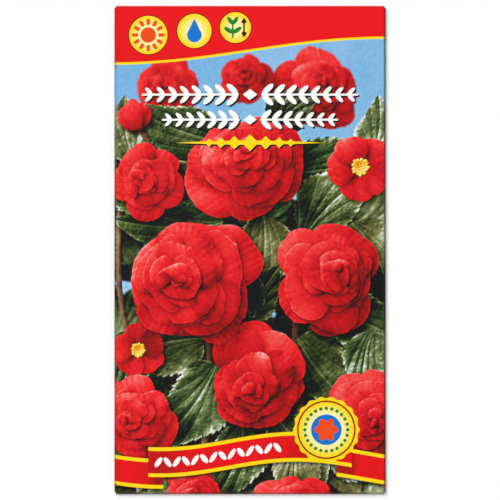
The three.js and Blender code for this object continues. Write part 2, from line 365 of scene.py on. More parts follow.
def leaf(x, y, angle, length, width, seed, bend=0.0, tone=0.0, hue=0.0, near=0.8):
    """
    A leaf from (x, y). Half width: sin(pi t^0.62)^0.85, with t from 0 at the base to 1 at the tip, times
    the saw of its teeth. Its veins fan out from the base: they lie where VEINS times the angle off the
    midrib is a whole number.
    """
    rng = np.random.default_rng(seed)
    ax, ay = np.cos(angle), np.sin(angle)
    part = window(x + ax * length / 2, y + ay * length / 2, length * 0.6 + width * 0.8 + 2)

    def own(px, py):
        """Along, the same kept from 0 to 1 as t, across, and the half width there."""
        dx, dy = px - x, py - y
        along = (dx * ax + dy * ay) / length
        t = np.clip(along, 0, 1)
        across = (dy * ax - dx * ay) / width - bend * 4 * t * (1 - t)
        half = np.sin(np.pi * t**0.62) ** 0.85 * (1 - 0.12 * t) * np.where(across > 0, 1.05, 0.86)
        saw = (t * TEETH + 0.35 * np.sin(t * 9 + seed)) % 1.0
        swell = 0.05 * np.sin(t * 11 + seed + np.sign(across))
        half = half * (1 + 0.09 * (saw - 0.6) + 0.03 * ((t * TEETH * 2.9) % 1.0 - 0.5) + swell)
        return along, t, across, half

    def outline(px, py):
        along, _, across, half = own(px, py)
        return np.minimum((half - np.abs(across)) * width, np.minimum(along, 1 - along) * length)

    _, t, across, half = own(X[part], Y[part])
    s = np.abs(across)
    fan, far_out = np.arctan2(s, t + 0.12), np.hypot(s, t + 0.12)
    side = VEINS * fan + 0.35 * fan * np.sin(4 * t + seed)
    off_vein = np.abs(side - np.round(side))
    vein = np.exp(-((off_vein * far_out / 0.035) ** 2)) * (1 - 0.5 * s)
    midrib = np.exp(-((across / 0.045) ** 2)) * (1 - 0.6 * t)
    mottle, broad = fractal(X[part], Y[part], 1.8, seed, 3), fractal(X[part], Y[part], 7.0, seed, 2)
    rim = np.clip(s / np.maximum(half, 0.05), 0, 1) ** 10
    height = (1.1 * s - 0.9 * s**2 + rng.uniform(-1.2, 1.2) * across) * width / 8
    quilt = rng.uniform(0.30, 0.60) * far_out * np.clip(off_vein * 2, 0, 1) ** 0.8
    height += quilt + 0.60 * mottle + 1.3 * broad
    height += 1.1 * np.sin(t * rng.uniform(3, 7) + seed) * length / 20
    shade = tone + 0.10 * vein + 0.13 * midrib + 0.75 * rim * mottle**1.5 + 0.08 * (mottle - 0.5)
    shade += 0.34 * (broad - 0.5) + rng.uniform(-0.13, 0.09)
    lay(part, outline, height, 0.9, kind=LEAF, tone=shade, hue=hue, near=near)


print("teeth on each side of a leaf:", TEETH)

# %% [markdown]
# ## The bouquet
#
# Now the picture is composed, from the back: a dark mass of foliage with a few gaps to the sky, many
# small leaves in deep shade, a few flowers far behind, bare stems, the leaves that frame the flowers,
# then bud and blossoms. The four large flowers stand in a diamond, with smaller ones round it.

# %% Foliage
def foliage_top(x):
    """Height of the foliage: a low arch, 40 mm less a hundredth of x squared."""
    return 40 - 0.010 * x**2


mass = Y < foliage_top(X) + 5 * fractal(X, Y, 9.0, 3) - 16
mass &= fractal(X, Y, 8.0, 35, 3) < 0.66  # a few gaps, with sky behind them
canvas["kind"][mass] = LEAF
canvas["tone"][mass] = -0.50 + 0.25 * fractal(X, Y, 5.0, 31)[mass]
canvas["hue"][mass] = 0.4

SCATTERED_LEAVES = 130
scatter = np.random.default_rng(5)
for k in range(SCATTERED_LEAVES):
    lx = scatter.uniform(-43, 43)
    ly = scatter.uniform(-76, foliage_top(lx) - 8)
    size = scatter.uniform(12, 23)
    turn, bow = scatter.uniform(0, 2 * np.pi), scatter.uniform(-0.3, 0.3)
    deep, olive = -0.34 + 0.34 * scatter.random(), scatter.random()
    leaf(lx, ly, turn, size, size * 0.36, 100 + k, bow, deep, olive, 0.0)

# x, y, radius, petals, seed, tilt, direction of the tilt
FAR_FLOWERS = (
    (-24.0, 46.0, 12.0, 20, 27, 0.25, 2.4),
    (20.0, 47.0, 13.5, 22, 28, 0.25, 0.7),
    (-2.0, 50.0, 8.5, 18, 29, 0.3, 1.6),
)
for flower in FAR_FLOWERS:
    double_flower(*flower, near=0.2)

# base x, base y, direction in degrees, length, half width, bend, share of olive, tone
FRONT_LEAVES = (
    (-8, 32, 158, 30, 9.5, 0.2, 0.1, 0.0),
    (7, 35, 40, 18, 7.0, 0.2, 0.3, -0.25),
    (12, 22, 2, 29, 10, 0.15, 0.0, 0.0),
    (-10, 18, 186, 31, 10, -0.15, 0.5, 0.0),
    (16, 4, 42, 30, 10, 0.2, 0.2, 0.0),
    (-8, 8, 178, 33, 9, 0.2, 0.1, 0.0),
    (4, 10, 262, 26, 9, 0.2, 0.7, 0.0),
    (24, -20, 338, 23, 9, 0.25, 0.1, 0.0),
    (14, -26, 312, 28, 10, -0.2, 0.3, 0.0),
    (-14, -26, 196, 30, 10, -0.2, 0.4, 0.0),
    (-10, -34, 232, 32, 10.5, 0.2, 0.0, 0.0),
    (8, -50, 300, 26, 10, 0.2, 0.5, 0.0),
    (-2, -52, 248, 24, 9, 0.2, 0.1, 0.0),
    (24, -60, 340, 22, 9, 0.2, 0.1, 0.0),
    (-26, -56, 250, 20, 9, 0.2, 0.6, 0.0),
    (0, -20, 60, 18, 7, 0.1, 0.2, 0.0),
    (-28, 12, 120, 22, 8.5, 0.2, 0.0, 0.0),
    (30, 8, 300, 20, 8, 0.2, 0.6, 0.0),
    (0, -20, 95, 20, 7, 0.1, 0.0, 0.0),
    (-36, -24, 260, 22, 8, 0.2, 0.2, 0.0),
    (36, -24, 265, 22, 8, -0.2, 0.0, 0.0),
    (14, -58, 275, 20, 8, -0.2, 0.8, 0.0),
    (-34, 26, 98, 20, 7, 0.2, 0.5, 0.0),
    (36, 28, 84, 18, 7, -0.2, 0.1, 0.0),
)
# start, the x it bends towards, end and half thickness
STEMS = (
    ((-14, -10), -9, (-15, -66), 1.0),
    ((14, -16), 12, (19, -66), 1.1),
    ((-34, -10), -30, (-28, -60), 0.9),
    ((33, -20), 29, (31, -62), 1.0),
    ((4, 14), 6, (2, -30), 0.9),
    ((-38, 14), -41, (-34, -34), 0.8),
)
for row in STEMS:
    stem(*row)
for k, (lx, ly, degrees, size, half, bow, olive, tone) in enumerate(FRONT_LEAVES):
    leaf(lx, ly, np.radians(degrees), size, half, 300 + k, bow, tone, 0.1 + 0.8 * olive)
print("leaves:", SCATTERED_LEAVES + len(FRONT_LEAVES))

# %% Stem, bud and flowers
stem((-23, 22), -29, (-33, 37), 0.7)
bud(-33.5, 35.5, 1.75, 9.0, 51)
single_blossom(32.5, 24.5, 10.0, 61)
single_blossom(-33.0, -29.5, 8.0, 62)

# x, y, radius, petals, seed, tilt, direction of the tilt
DOUBLE_FLOWERS = (
    (-17.0, -75.0, 12.0, 20, 31, 0.2, 1.2),
    (13.0, -77.0, 13.5, 20, 32, 0.2, 1.9),
    (35.0, -49.0, 14.0, 22, 21, 0.25, -0.9),
    (-32.5, -49.0, 14.0, 22, 22, 0.3, 3.6),
    (-29.5, 20.0, 12.5, 20, 30, 0.3, 2.8),
    (0.0, 25.0, 18.5, 26, 23, 0.22, 1.9),
    (21.5, -8.0, 19.0, 26, 24, 0.28, 0.2),
    (1.5, -38.0, 17.5, 24, 25, 0.25, -1.8),
    (-18.0, -8.5, 21.5, 30, 26, 0.2, 3.4),
)
for flower in DOUBLE_FLOWERS:
    double_flower(*flower)
print("double flowers:", len(DOUBLE_FLOWERS) + len(FAR_FLOWERS))

# %% [markdown]
# ## Light on the picture
#
# The slopes give the light on each point, as a shader would. The blur below serves for soft focus,
# soft shadows and sharpening. It is a product with a Gaussian in the spectrum, which costs the same
# for any width.

# %% Blur and light
LIGHT = np.array([-0.50, 0.60, 0.80])
SLOPE_SHARE = 0.6  # how much of the slope the light sees
AMBIENT, DIRECT = 0.08, 0.74  # light from all round, and from the light on a surface that faces it
LEFT_IN_SHADOW, SHADOW_LOSS = 0.35, 0.22  # what stays of the direct light, and what goes besides
GLEAM_POWER = 30


def blur(values, sigma):
    """Gaussian blur: the spectrum times exp(-2 (pi sigma frequency)^2)."""
    pad = int(3 * sigma / PITCH) + 1
    padded = np.pad(values, pad, mode="edge")
    fy = np.fft.fftfreq(padded.shape[0], PITCH)[:, None]
    fx = np.fft.rfftfreq(padded.shape[1], PITCH)[None]
    gauss = np.exp(-2 * (np.pi * sigma) ** 2 * (fx * fx + fy * fy))
    return np.fft.irfft2(np.fft.rfft2(padded) * gauss, s=padded.shape)[pad:-pad, pad:-pad]


slope_x, slope_y = (SLOPE_SHARE * canvas[name] for name in ("slope_x", "slope_y"))
steepness = np.sqrt(slope_x**2 + slope_y**2 + 1)


def facing(direction):
    """Cosine of the angle between the surface's normal and a direction."""
    x, y, z = direction / np.linalg.norm(direction)
    return np.clip((z - slope_x * x - slope_y * y) / steepness, 0, None)


shade = canvas["shade"]
gleam = facing(LIGHT / np.linalg.norm(LIGHT) + (0, 0, 1)) ** GLEAM_POWER * shade
direct = DIRECT * facing(LIGHT) * (LEFT_IN_SHADOW + (1 - LEFT_IN_SHADOW) * shade)
value = AMBIENT + direct - SHADOW_LOSS * (1 - shade) + canvas["tone"]
print(f"light values {value.min():.2f} to {value.max():.2f}")

# %% [markdown]
# ## Ink colours
#
# A petal isn't one red made darker and lighter. In shade it turns to crimson, in light to scarlet, and
# on its rim to pink. A ramp of inks for each material says which colour belongs to which light value.

# %% Ramps of ink
PETAL_INKS = (
    (0.0, (56, 3, 12)),
    (0.18, (118, 8, 20)),
    (0.36, (174, 22, 31)),
    (0.52, (208, 32, 39)),
    (0.66, (228, 42, 45)),
    (0.80, (240, 58, 57)),
    (0.94, (246, 92, 88)),
    (1.1, (252, 168, 158)),
)
GREEN_INKS = (
    (0.0, (7, 12, 10)),
    (0.2, (18, 32, 20)),
    (0.4, (40, 60, 34)),
    (0.58, (74, 94, 54)),
    (0.76, (112, 131, 80)),
    (0.92, (174, 186, 156)),
    (1.1, (232, 238, 226)),
)
OLIVE_INKS = (
    (0.0, (12, 10, 8)),
    (0.2, (38, 32, 20)),
    (0.4, (70, 63, 36)),
    (0.58, (106, 99, 56)),
    (0.76, (148, 141, 92)),
    (0.92, (194, 190, 150)),
    (1.1, (238, 236, 220)),
)
STEM_INKS = ((0.0, (28, 16, 12)), (0.3, (88, 60, 42)), (0.55, (142, 110, 80)), (1.1, (236, 220, 196)))
STAMEN_INKS = ((0.0, (120, 40, 5)), (0.35, (214, 120, 10)), (0.6, (250, 190, 30)), (1.1, (255, 250, 200)))


def ink(values, stops):
    """The colour at each value, straight between the stops, in display units from 0 to 1."""
    at = [stop for stop, _ in stops]
    channels = [np.interp(values, at, [colour[k] / 255 for _, colour in stops]) for k in range(3)]
    return np.stack(channels, axis=-1)


def over(picture, mask, colour):
    """Mixes a colour into the picture by a mask from 0 to 1."""
    return picture + (colour - picture) * np.asarray(mask, float)[..., None]


SKY_INKS = ((-72, (156, 206, 238)), (72, (118, 176, 223)))  # by height in millimetres
CLOUD_WHITE, SHEEN = np.array([0.86, 0.93, 0.97]), np.array([0.80, 0.85, 0.88])
kind, hue = canvas["kind"], canvas["hue"][..., None]
clouds = 0.5 * np.clip(2.4 * fractal(X, Y, 30.0, 8, 5) - 1.0, 0, 1)
picture = over(ink(Y, SKY_INKS), clouds, CLOUD_WHITE)

leaf_light = 1.32 * value - 0.09 + 0.14 * gleam  # leaves have more contrast than petals
green = ink(leaf_light, GREEN_INKS) * (1 - hue) + ink(leaf_light, OLIVE_INKS) * hue
green = over(green, 0.55 * smooth((gleam - 0.62) / 0.34), SHEEN)  # the sky in their gloss
picture = over(picture, kind == LEAF, green)

broad_tone, fine_tone = fractal(X, Y, 8.0, 17, 3) - 0.5, fractal(X, Y, 0.9, 18, 2) - 0.5
petal_light = value + 0.05 + 0.08 * gleam + 0.34 * broad_tone + 0.10 * fine_tone
picture = over(picture, kind == PETAL, ink(petal_light, PETAL_INKS))
picture = over(picture, kind == STEM, ink(value - 0.05, STEM_INKS))
picture = over(picture, kind == STAMEN, ink(value + 0.15, STAMEN_INKS))
print("ramps:", 6)

# %% [markdown]
# What lies far behind the flowers is out of focus in a real photograph. Only those points are blurred,
# and each is divided by the blurred mask, so that no red leaks into the green. Then a fine grain goes
# over the whole picture.

# %% Soft focus far back
FAR_BLUR = 0.24
GRAIN, GRAIN_SIZE = 0.04, 0.45  # from its darkest to its lightest, and millimetres from grain to grain
far = (canvas["near"] < 0.5).astype(float)
far_share = blur(far, FAR_BLUR) + 1e-6
softened = np.stack([blur(picture[..., k] * far, FAR_BLUR) / far_share for k in range(3)], axis=-1)
picture = over(picture, far, softened) + GRAIN * (value_noise(X, Y, GRAIN_SIZE, 55)[..., None] - 0.5)
print(f"far share of the picture {far.mean():.2f}")

# %% [markdown]
# ## Fields and ribbon
#
# The printer frames the picture with a red field at the top and a red ribbon near the bottom, with its
# tails folded back behind it. Their broad colours are painted here, and their sharp yellow edges come
# later. The ribbon also drops a soft shadow on the picture, which lifts it off the leaves.

# %% Red field and ribbon
RIBBON_HALF = 4.4
RIBBON_END = 30.0  # the front part ends this far from the middle
FOLD = 4.5  # how far a tail starts behind the front part
TAIL_OFFSET = -3.4
SHADOW_SHIFT, SHADOW_BLUR, SHADOW_DARK = (-0.5, -0.7), 0.45, 0.6  # of the ribbon's shadow
SHADOW_INK = np.array([0.04, 0.02, 0.02])


def field_edge(x):
    """Lower edge of the red field: half a sine wave across the packet."""
    return 58.8 + 3.8 * np.sin(np.pi * x / WIDTH)


def ribbon_middle(x):
    """The ribbon's middle line: one sine wave across the packet."""
    return -60.3 + 2.3 * np.sin(2 * np.pi * x / WIDTH + 0.5)


def ribbon_inside(x, y, offset=0.0):
    """How far a point is inside a band along the ribbon: half its height less the distance."""
    return RIBBON_HALF - np.abs(y - ribbon_middle(x) - offset)


def ribbon_front(x, y):
    """Inside the front part: inside the band and not past its ends."""
    return np.minimum(ribbon_inside(x, y), RIBBON_END - np.abs(x))


def ribbon_tails(x, y):
    """Inside the tails: inside the lower band and past the folds."""
    return np.minimum(ribbon_inside(x, y, TAIL_OFFSET), np.abs(x) - (RIBBON_END - FOLD))


RED_INKS = ((0.0, (150, 12, 24)), (0.5, (228, 24, 33)), (1.0, (237, 29, 37)))
picture = over(picture, Y > field_edge(X), ink(0.5 + 0.5 * smooth((Y - 52) / 12), RED_INKS))
under_x, under_y = X - SHADOW_SHIFT[0], Y - SHADOW_SHIFT[1]
shadowed = np.maximum(ribbon_front(under_x, under_y), ribbon_tails(under_x, under_y)) > 0
picture = over(picture, SHADOW_DARK * blur(shadowed.astype(float), SHADOW_BLUR), SHADOW_INK)
tail_light = 0.62 * smooth((np.abs(X) - RIBBON_END + FOLD) / 9) + 0.1 * np.sin(X)
picture = over(picture, ribbon_tails(X, Y) > 0, ink(tail_light, RED_INKS))
front_light = 0.62 + 0.30 * np.sin(2 * np.pi * X / 46 + 2.2) + 0.06 * (Y + 60) / RIBBON_HALF
picture = over(picture, ribbon_front(X, Y) > 0, ink(front_light, RED_INKS))
print("ribbon height", 2 * RIBBON_HALF, "mm")

# %% [markdown]
# ## Sharp inks
#
# A mesh can carry one colour in each corner of each face, which is enough for petals but too soft for
# a printed line. So each sharp ink is stored as a distance instead: how far a point lies inside the
# ink's edge, in millimetres, and negative outside. A distance is smooth, so it survives between the
# mesh's points, and the shader cuts it at zero into a line that stays sharp at any size.

# %% Distances to simple shapes
def disc(x, y, cx, cy, radius):
    """The radius less the distance to the middle."""
    return radius - np.hypot(x - cx, y - cy)


def bar(x, y, start, end, half):
    """Half the bar's width less the distance to its middle line."""
    (x0, y0), (x1, y1) = start, end
    length = np.hypot(x1 - x0, y1 - y0)
    along = np.clip(((x - x0) * (x1 - x0) + (y - y0) * (y1 - y0)) / length**2, 0, 1)
    return half - np.hypot(x - x0 - along * (x1 - x0), y - y0 - along * (y1 - y0))


def oval(x, y, cx, cy, long, short, angle):
    """(1 - the point's distance in units of the half axes) times the short half axis."""
    c, s = np.cos(angle), np.sin(angle)
    p, q = (x - cx) * c + (y - cy) * s, (y - cy) * c - (x - cx) * s
    return (1 - np.hypot(p / long, q / short)) * short


def arrow_head(x, y, tip_x, tip_y, up, size):
    """A triangle under its tip: the least of the distances to its three sides."""
    down = (tip_y - y) * up
    return np.minimum(size - down, (down * 0.6 - np.abs(x - tip_x)) * 0.86)


def union(*shapes):
    """The farthest inside of any of the shapes."""
    return np.maximum.reduce(shapes)


print("a point 1 mm inside a disc:", float(disc(np.array(2.0), 0.0, 0.0, 0.0, 3.0)))

# %% [markdown]
# The pictograms are the common ones of any seed packet, drawn plainly: sun, water and height of the
# plant. They stand in round badges on the red field. Two rows of white sprigs and a tapered yellow
# rule with lozenges are printed over the picture. A garland of white leaves runs along the ribbon, and
# a rosette holds it. A line thinner than the mesh can't be told by its own distance, so a rim is one
# disc printed over a slightly larger one.

# %% Badges
SUN, DROP, SPROUT = (-30.0, 63.4, 6.0), (-16.4, 64.6, 5.4), (-4.3, 65.6, 4.9)
BADGE_RIM = 0.35
RAYS = 12


def sun(x, y):
    """A disc and rays: each ray is where r |sin| of the angle off its middle is small."""
    cx, cy, size = SUN
    r, angle = np.hypot(x - cx, y - cy), np.arctan2(y - cy, x - cx)
    off = (angle * RAYS / (2 * np.pi) + 0.5) % 1.0 - 0.5
    ray = 0.07 * size - r * np.abs(np.sin(off * 2 * np.pi / RAYS)) * (0.5 + 0.5 * r / size)
    ray = np.minimum(ray, np.minimum(r - 0.50 * size, 0.80 * size - r))
    return union(0.38 * size - r, ray)


def drop(x, y):
    """A disc with a cone on it, whose width falls to its tip."""
    cx, cy, size = DROP
    low = disc(x, y, cx, cy - 0.22 * size, 0.40 * size)
    up = (y - (cy - 0.22 * size)) / (0.92 * size)
    width = 0.40 * size * (1 - np.clip(up, 0, 1)) ** 1.15 * (1 + 0.35 * np.clip(up, 0, 1))
    cone = np.minimum(width - np.abs(x - cx), (np.minimum(up, 1 - up)) * size)
    return union(low, cone)


def sprout(x, y):
    """A stem and two pairs of leaves."""
    cx, cy, size = SPROUT
    cx -= 0.16 * size
    shapes = [bar(x, y, (cx, cy - 0.62 * size), (cx, cy + 0.30 * size), 0.05 * size)]
    leaves = ((0.26, -0.16, 0.32, 0.13, 0.6), (0.16, 0.42, 0.27, 0.12, 1.0))  # in shares of the size
    for out, up, long, short, turn in leaves:
        for side in (-1, 1):
            middle = (cx + side * out * size, cy + up * size)
            shapes.append(oval(x, y, *middle, long * size, short * size, side * turn))
    return union(*shapes)


def height_arrow(x, y):
    """A bar with a head at each end."""
    cx, cy, size = SPROUT
    cx += 0.52 * size
    shapes = [bar(x, y, (cx, cy - 0.40 * size), (cx, cy + 0.40 * size), 0.26)]
    shapes += [arrow_head(x, y, cx, cy + up * 0.62 * size, up, 0.34 * size) for up in (-1, 1)]
    return union(*shapes)


def badges(x, y, less=0.0):
    """The three discs, each with its radius less a rim."""
    return union(*(disc(x, y, cx, cy, size - less) for cx, cy, size in (SUN, DROP, SPROUT)))


print("badges:", 3)

# %% Sprigs, rule, garland and rosette
SPRIGS = ((0.0, 45.8, 3.6, 8), (0.0, 38.4, 3.3, 7))  # middle, size and pairs of leaves
RULE_Y, RULE_HALF = 31.6, 22.0
LOZENGES = ((0.0, 2.5), (4.6, 2.0), (8.6, 1.6), (12.0, 1.2))  # place along the rule and half height
GARLAND_PITCH, GARLAND_LEAVES = 2.7, (-10, 3)  # from leaf to leaf, and the first and last of them
GARLAND_LEAF, GARLAND_LEAN = (1.7, 0.72), 0.95
ROSETTE = (22.5, -53.0, 9.6)
SCALLOPS, PEARLS = 18, 24


def sprig(x, y, cx, cy, size, pairs):
    """Two straight stems that meet at a lozenge, each with pairs of leaves that point outwards."""
    x = np.abs(x - cx)  # both halves at once
    shapes = [bar(x, y, (size, cy), ((pairs + 0.8) * size, cy), 0.30)]
    shapes.append(0.45 * size - x * 0.75 - np.abs(y - cy))
    for k in range(1, pairs + 1):
        share = size * (1.12 - 0.42 * k / pairs)
        for side in (-1, 1):
            middle = (k * size + 0.42 * share, cy + side * 0.42 * share)
            shapes.append(oval(x, y, *middle, 0.56 * share, 0.22 * share, side * 0.75))
    return union(*shapes)


def rule(x, y, cy, half_length):
    """A line that tapers to its ends, 0.6 (1 - (x / length)^2) high, with lozenges on both sides."""
    taper = 0.6 * (1 - (x / half_length) ** 2)
    shapes = [np.where(taper > 0, taper, 0) - np.abs(y - cy) - 0.2 * (taper < 0)]
    shapes += [size - np.abs(np.abs(x) - at) - np.abs(y - cy) for at, size in LOZENGES]
    return union(*shapes)


def sprigs(x, y):
    """Both rows of sprigs."""
    return union(*(sprig(x, y, *row) for row in SPRIGS))


def white_ink(x, y):
    """The sprigs and the garland on the ribbon."""
    return union(sprigs(x, y), garland(x, y))


def garland(x, y):
    """Leaves along the ribbon's middle, one at each whole number of pitches, leaning left and right."""
    number = np.clip(np.round(x / GARLAND_PITCH), *GARLAND_LEAVES)
    lean = np.where(number % 2 == 0, GARLAND_LEAN, -GARLAND_LEAN)
    return oval(x - number * GARLAND_PITCH, y - ribbon_middle(x), 0.0, 0.0, *GARLAND_LEAF, lean)


def rosette(x, y, share, scallop=0.0):
    """A disc of a share of the rosette's radius, its edge waved by the scallop."""
    cx, cy, size = ROSETTE
    wave = scallop * np.cos(SCALLOPS * np.arctan2(y - cy, x - cx))
    return disc(x, y, cx, cy, share * size + wave)


def ring_of(x, y, shape, count, distance, turn=0.0):
    """A shape of (distance outwards, distance along the ring) repeated round the rosette."""
    cx, cy, size = ROSETTE
    angle = np.arctan2(y - cy, x - cx) + turn
    off = (angle * count / (2 * np.pi) + 0.5) % 1.0 - 0.5
    r, a = np.hypot(x - cx, y - cy), off * 2 * np.pi / count
    return shape(r * np.cos(a) - distance * size, r * np.sin(a))


def blossom(x, y):
    """Six round petals."""
    size = ROSETTE[2]
    return ring_of(x, y, lambda p, q: oval(p, q, 0, 0, 0.17 * size, 0.12 * size, 0.0), 6, 0.20)


def pearls(x, y):
    """A ring of round dots."""
    size = ROSETTE[2]
    return ring_of(x, y, lambda p, q: disc(p, q, 0, 0, 0.055 * size), PEARLS, 0.66)


print("pearls round the rosette:", PEARLS)

# %% The sharp inks in the order of printing
PIPING = 0.36
RIBBON_TRIM = 1.1
SHADE_SHIFT = 0.45  # down and to the right


def trim(inside):
    """A line of the trim's width just inside an edge."""
    return RIBBON_TRIM / 2 - np.abs(inside - RIBBON_TRIM / 2)


def yellow_ink(x, y):
    """The piping under the field, the trim of the ribbon, the rule and the rosette's ground."""
    front_trim = np.minimum(trim(ribbon_inside(x, y)), RIBBON_END - np.abs(x))
    tail_trim = np.minimum(trim(ribbon_inside(x, y, TAIL_OFFSET)), np.abs(x) - (RIBBON_END - FOLD))
    tail_trim = np.minimum(tail_trim, -ribbon_front(x, y))
    piping = PIPING - np.abs(y - field_edge(x))
    return union(piping, front_trim, tail_trim, rule(x, y, RULE_Y, RULE_HALF), rosette(x, y, 1.0, 0.25))


def shade_ink(x, y):
    """The sprigs and the rule again, moved by SHADE_SHIFT."""
    x, y = x - SHADE_SHIFT, y + SHADE_SHIFT
    return union(sprigs(x, y), rule(x, y, RULE_Y, RULE_HALF))


SHARP, GLOW = 0.06, 1.7  # millimetres over which an ink's edge fades
INKS = {
    "shade": (shade_ink, (0.07, 0.05, 0.12), SHARP),
    "white": (white_ink, (1.0, 1.0, 0.98), SHARP),
    "yellow": (yellow_ink, (1.0, 0.86, 0.05), SHARP),
    "rim": (lambda x, y: union(badges(x, y), rosette(x, y, 0.90)), (0.62, 0.06, 0.06), SHARP),
    "ground": (lambda x, y: union(badges(x, y, BADGE_RIM), rosette(x, y, 0.85)), (1.0, 0.87, 0.16), SHARP),
    "glow": (lambda x, y: union(badges(x, y, 2.3), rosette(x, y, 0.64)), (1.0, 0.97, 0.70), GLOW),
    "blue": (lambda x, y: union(drop(x, y), rosette(x, y, 0.47)), (0.10, 0.47, 0.82), SHARP),
    "orange": (lambda x, y: union(sun(x, y), blossom(x, y)), (0.95, 0.32, 0.10), SHARP),
    "green": (lambda x, y: union(sprout(x, y), pearls(x, y)), (0.18, 0.52, 0.18), SHARP),
    "dark": (height_arrow, (0.25, 0.06, 0.05), SHARP),
}
print("sharp inks:", ", ".join(INKS))

# %% [markdown]
# ## The folded sheet
#
# The envelope is one sheet, so it is made as one: a flat sheet with the coordinates u across and v
# along, and a function that says where each point goes once the sheet is folded. Modelling the front
# and the back as separate boxes would be quicker, but the folds, the open corners and the cut edges
# of the paper are what make it look like paper.

# %% Where a point of the sheet goes
BULGE = THICKNESS - CLOSED
SACHET_LOW, SACHET_HIGH = (box_mm("sachet_back_film")[k] for k in (0, 1))
SACHET_MIDDLE, SACHET_SIZE = (SACHET_LOW + SACHET_HIGH) / 2, SACHET_HIGH - SACHET_LOW


def front_shape(x, y):
    """
    A pillow, (1 - |x/a|^2)^1.5 (1 - |y/b|^2.5)^1.5, with the flat sachet's outline pressed through and
    soft waves of the paper. All of it dies out towards the folds.
    """
    across = np.clip(1 - np.abs(x / SIDE_FLAT) ** 2, 0, None) ** 1.5
    along = np.clip(1 - np.abs(y / PANEL_END) ** 2.5, 0, None) ** 1.5
    edge = smooth((SIDE_FLAT - np.abs(x)) / 7) * smooth((PANEL_END - np.abs(y)) / 7)
    to_side = SACHET_SIZE[0] / 2 - np.abs(x - SACHET_MIDDLE[0])
    to_end = SACHET_SIZE[1] / 2 - np.abs(y - SACHET_MIDDLE[1])
    pressed = 0.12 * smooth(np.minimum(to_side, to_end) / 3.5 + 0.5)
    waves = 0.24 * (fractal(x, y, 27.0, 41, 2) - 0.5) + 0.06 * (fractal(x, y, 8.0, 43, 2) - 0.5)
    return BULGE * across * along + edge * (pressed + waves)


probe = np.meshgrid(np.linspace(-SIDE_FLAT, SIDE_FLAT, 200), np.linspace(-END_FLAT, END_FLAT, 200))
FRONT_SCALE = BULGE / front_shape(*probe).max()


def folded(u, v, depth):
    """
    The place of a point of the sheet at a depth below its printed face. Past the flat front, a side fold
    is half a circle about the packet's edge and then the back panel runs back towards the middle. An end
    fold is half a wider circle, and then the flap runs back and narrows.
    """
    side, end = np.sign(u), np.sign(v)
    past_side, past_end = np.abs(u) - SIDE_FLAT, np.abs(v) - END_FLAT
    on_back, on_flap = past_side - SIDE_ARC, past_end - END_ARC

    flap_length = np.where(end < 0, FLAP_LENGTH[-1], FLAP_LENGTH[1])
    narrowing = 1 - FLAP_TAPER / FLAP_HALF * np.clip(on_flap / flap_length, 0, None)
    flap = (u * narrowing, end * (END_FLAT - on_flap), depth + 0 * u)

    angle, r = past_end / END_RADIUS, END_RADIUS - depth
    end_fold = (u, end * (END_FLAT + r * np.sin(angle)), END_RADIUS + r * np.cos(angle))

    x = side * (SIDE_FLAT - on_back)
    climb = SEAM_MIDDLE + SEAM_OVERLAP / 2 + SEAM_STEP_RUN - x
    climb = smooth(climb / (SEAM_STEP_RUN - SEAM_STEP_FLAT)) * (side > 0)
    back = (x, v, BACK_LEVEL + SEAM_CLIMB * climb + depth)

    angle, r = past_side / SIDE_RADIUS, SIDE_RADIUS - depth
    middle = BACK_LEVEL + SIDE_RADIUS
    side_fold = (side * (SIDE_FLAT + r * np.sin(angle)), v, middle + r * np.cos(angle))

    front = (u, v, CLOSED + FRONT_SCALE * front_shape(u, v) - depth)
    where = [on_flap > 0, past_end > 0, on_back > 0, past_side > 0]
    choices = zip(flap, end_fold, back, side_fold, front)
    return np.stack([np.select(where, axis[:4], axis[4]) for axis in choices], axis=-1)


print("top of the front:", round(float(folded(*probe, 0.0)[..., 2].max()), 3), "mm")

# %% [markdown]
# ### A fine front on a coarse sheet
#
# Only the printed front needs a fine mesh, and a piece should stay under 200,000 triangles. The sheet
# is a coarse grid with a hole in its front, and a grid four times finer fills the hole. Between the
# two runs a zipper: each coarse point is the tip of a fan over the fine points next to it.

# %% Grids
FINE_CELLS = 4  # fine cells along a coarse one
FRONT_COLUMNS, FRONT_ROWS = 53, 95


def joined(*spans):
    """One rising list from several spans of (first, last, cells)."""
    return np.unique(np.round(np.concatenate([np.linspace(a, b, n + 1) for a, b, n in spans]), 6))


BACK_START = SIDE_FLAT + SIDE_ARC
FLAP_START = END_FLAT + END_ARC


def reach(x):
    """The u at which a back panel reaches x on its own side."""
    return BACK_START + SIDE_FLAT - x


seam_edge = SEAM_MIDDLE + SEAM_OVERLAP / 2
sheet_u = joined(
    (-reach(-seam_edge), -BACK_START, 12),
    (-BACK_START, -SIDE_FLAT, 8),
    (-FLAP_HALF, FLAP_HALF, FRONT_COLUMNS),
    (SIDE_FLAT, BACK_START, 8),
    (BACK_START, reach(seam_edge + SEAM_STEP_RUN), 6),
    (reach(seam_edge + SEAM_STEP_RUN), reach(seam_edge + SEAM_STEP_FLAT), 8),
    (reach(seam_edge), reach(SEAM_MIDDLE - SEAM_OVERLAP / 2), 3),
)
sheet_v = joined(
    (-FLAP_START - FLAP_LENGTH[-1], -FLAP_START, 4),
    (-FLAP_START, -END_FLAT, 10),
    (-PANEL_END, PANEL_END, FRONT_ROWS),
    (END_FLAT, FLAP_START, 10),
    (FLAP_START, FLAP_START + FLAP_LENGTH[1], 4),
)
fine_u = np.linspace(-FLAP_HALF, FLAP_HALF, FRONT_COLUMNS * FINE_CELLS + 1)[1:-1]
fine_v = np.linspace(-PANEL_END, PANEL_END, FRONT_ROWS * FINE_CELLS + 1)[1:-1]
print("coarse grid", len(sheet_u), "x", len(sheet_v), "and fine grid", len(fine_u), "x", len(fine_v))


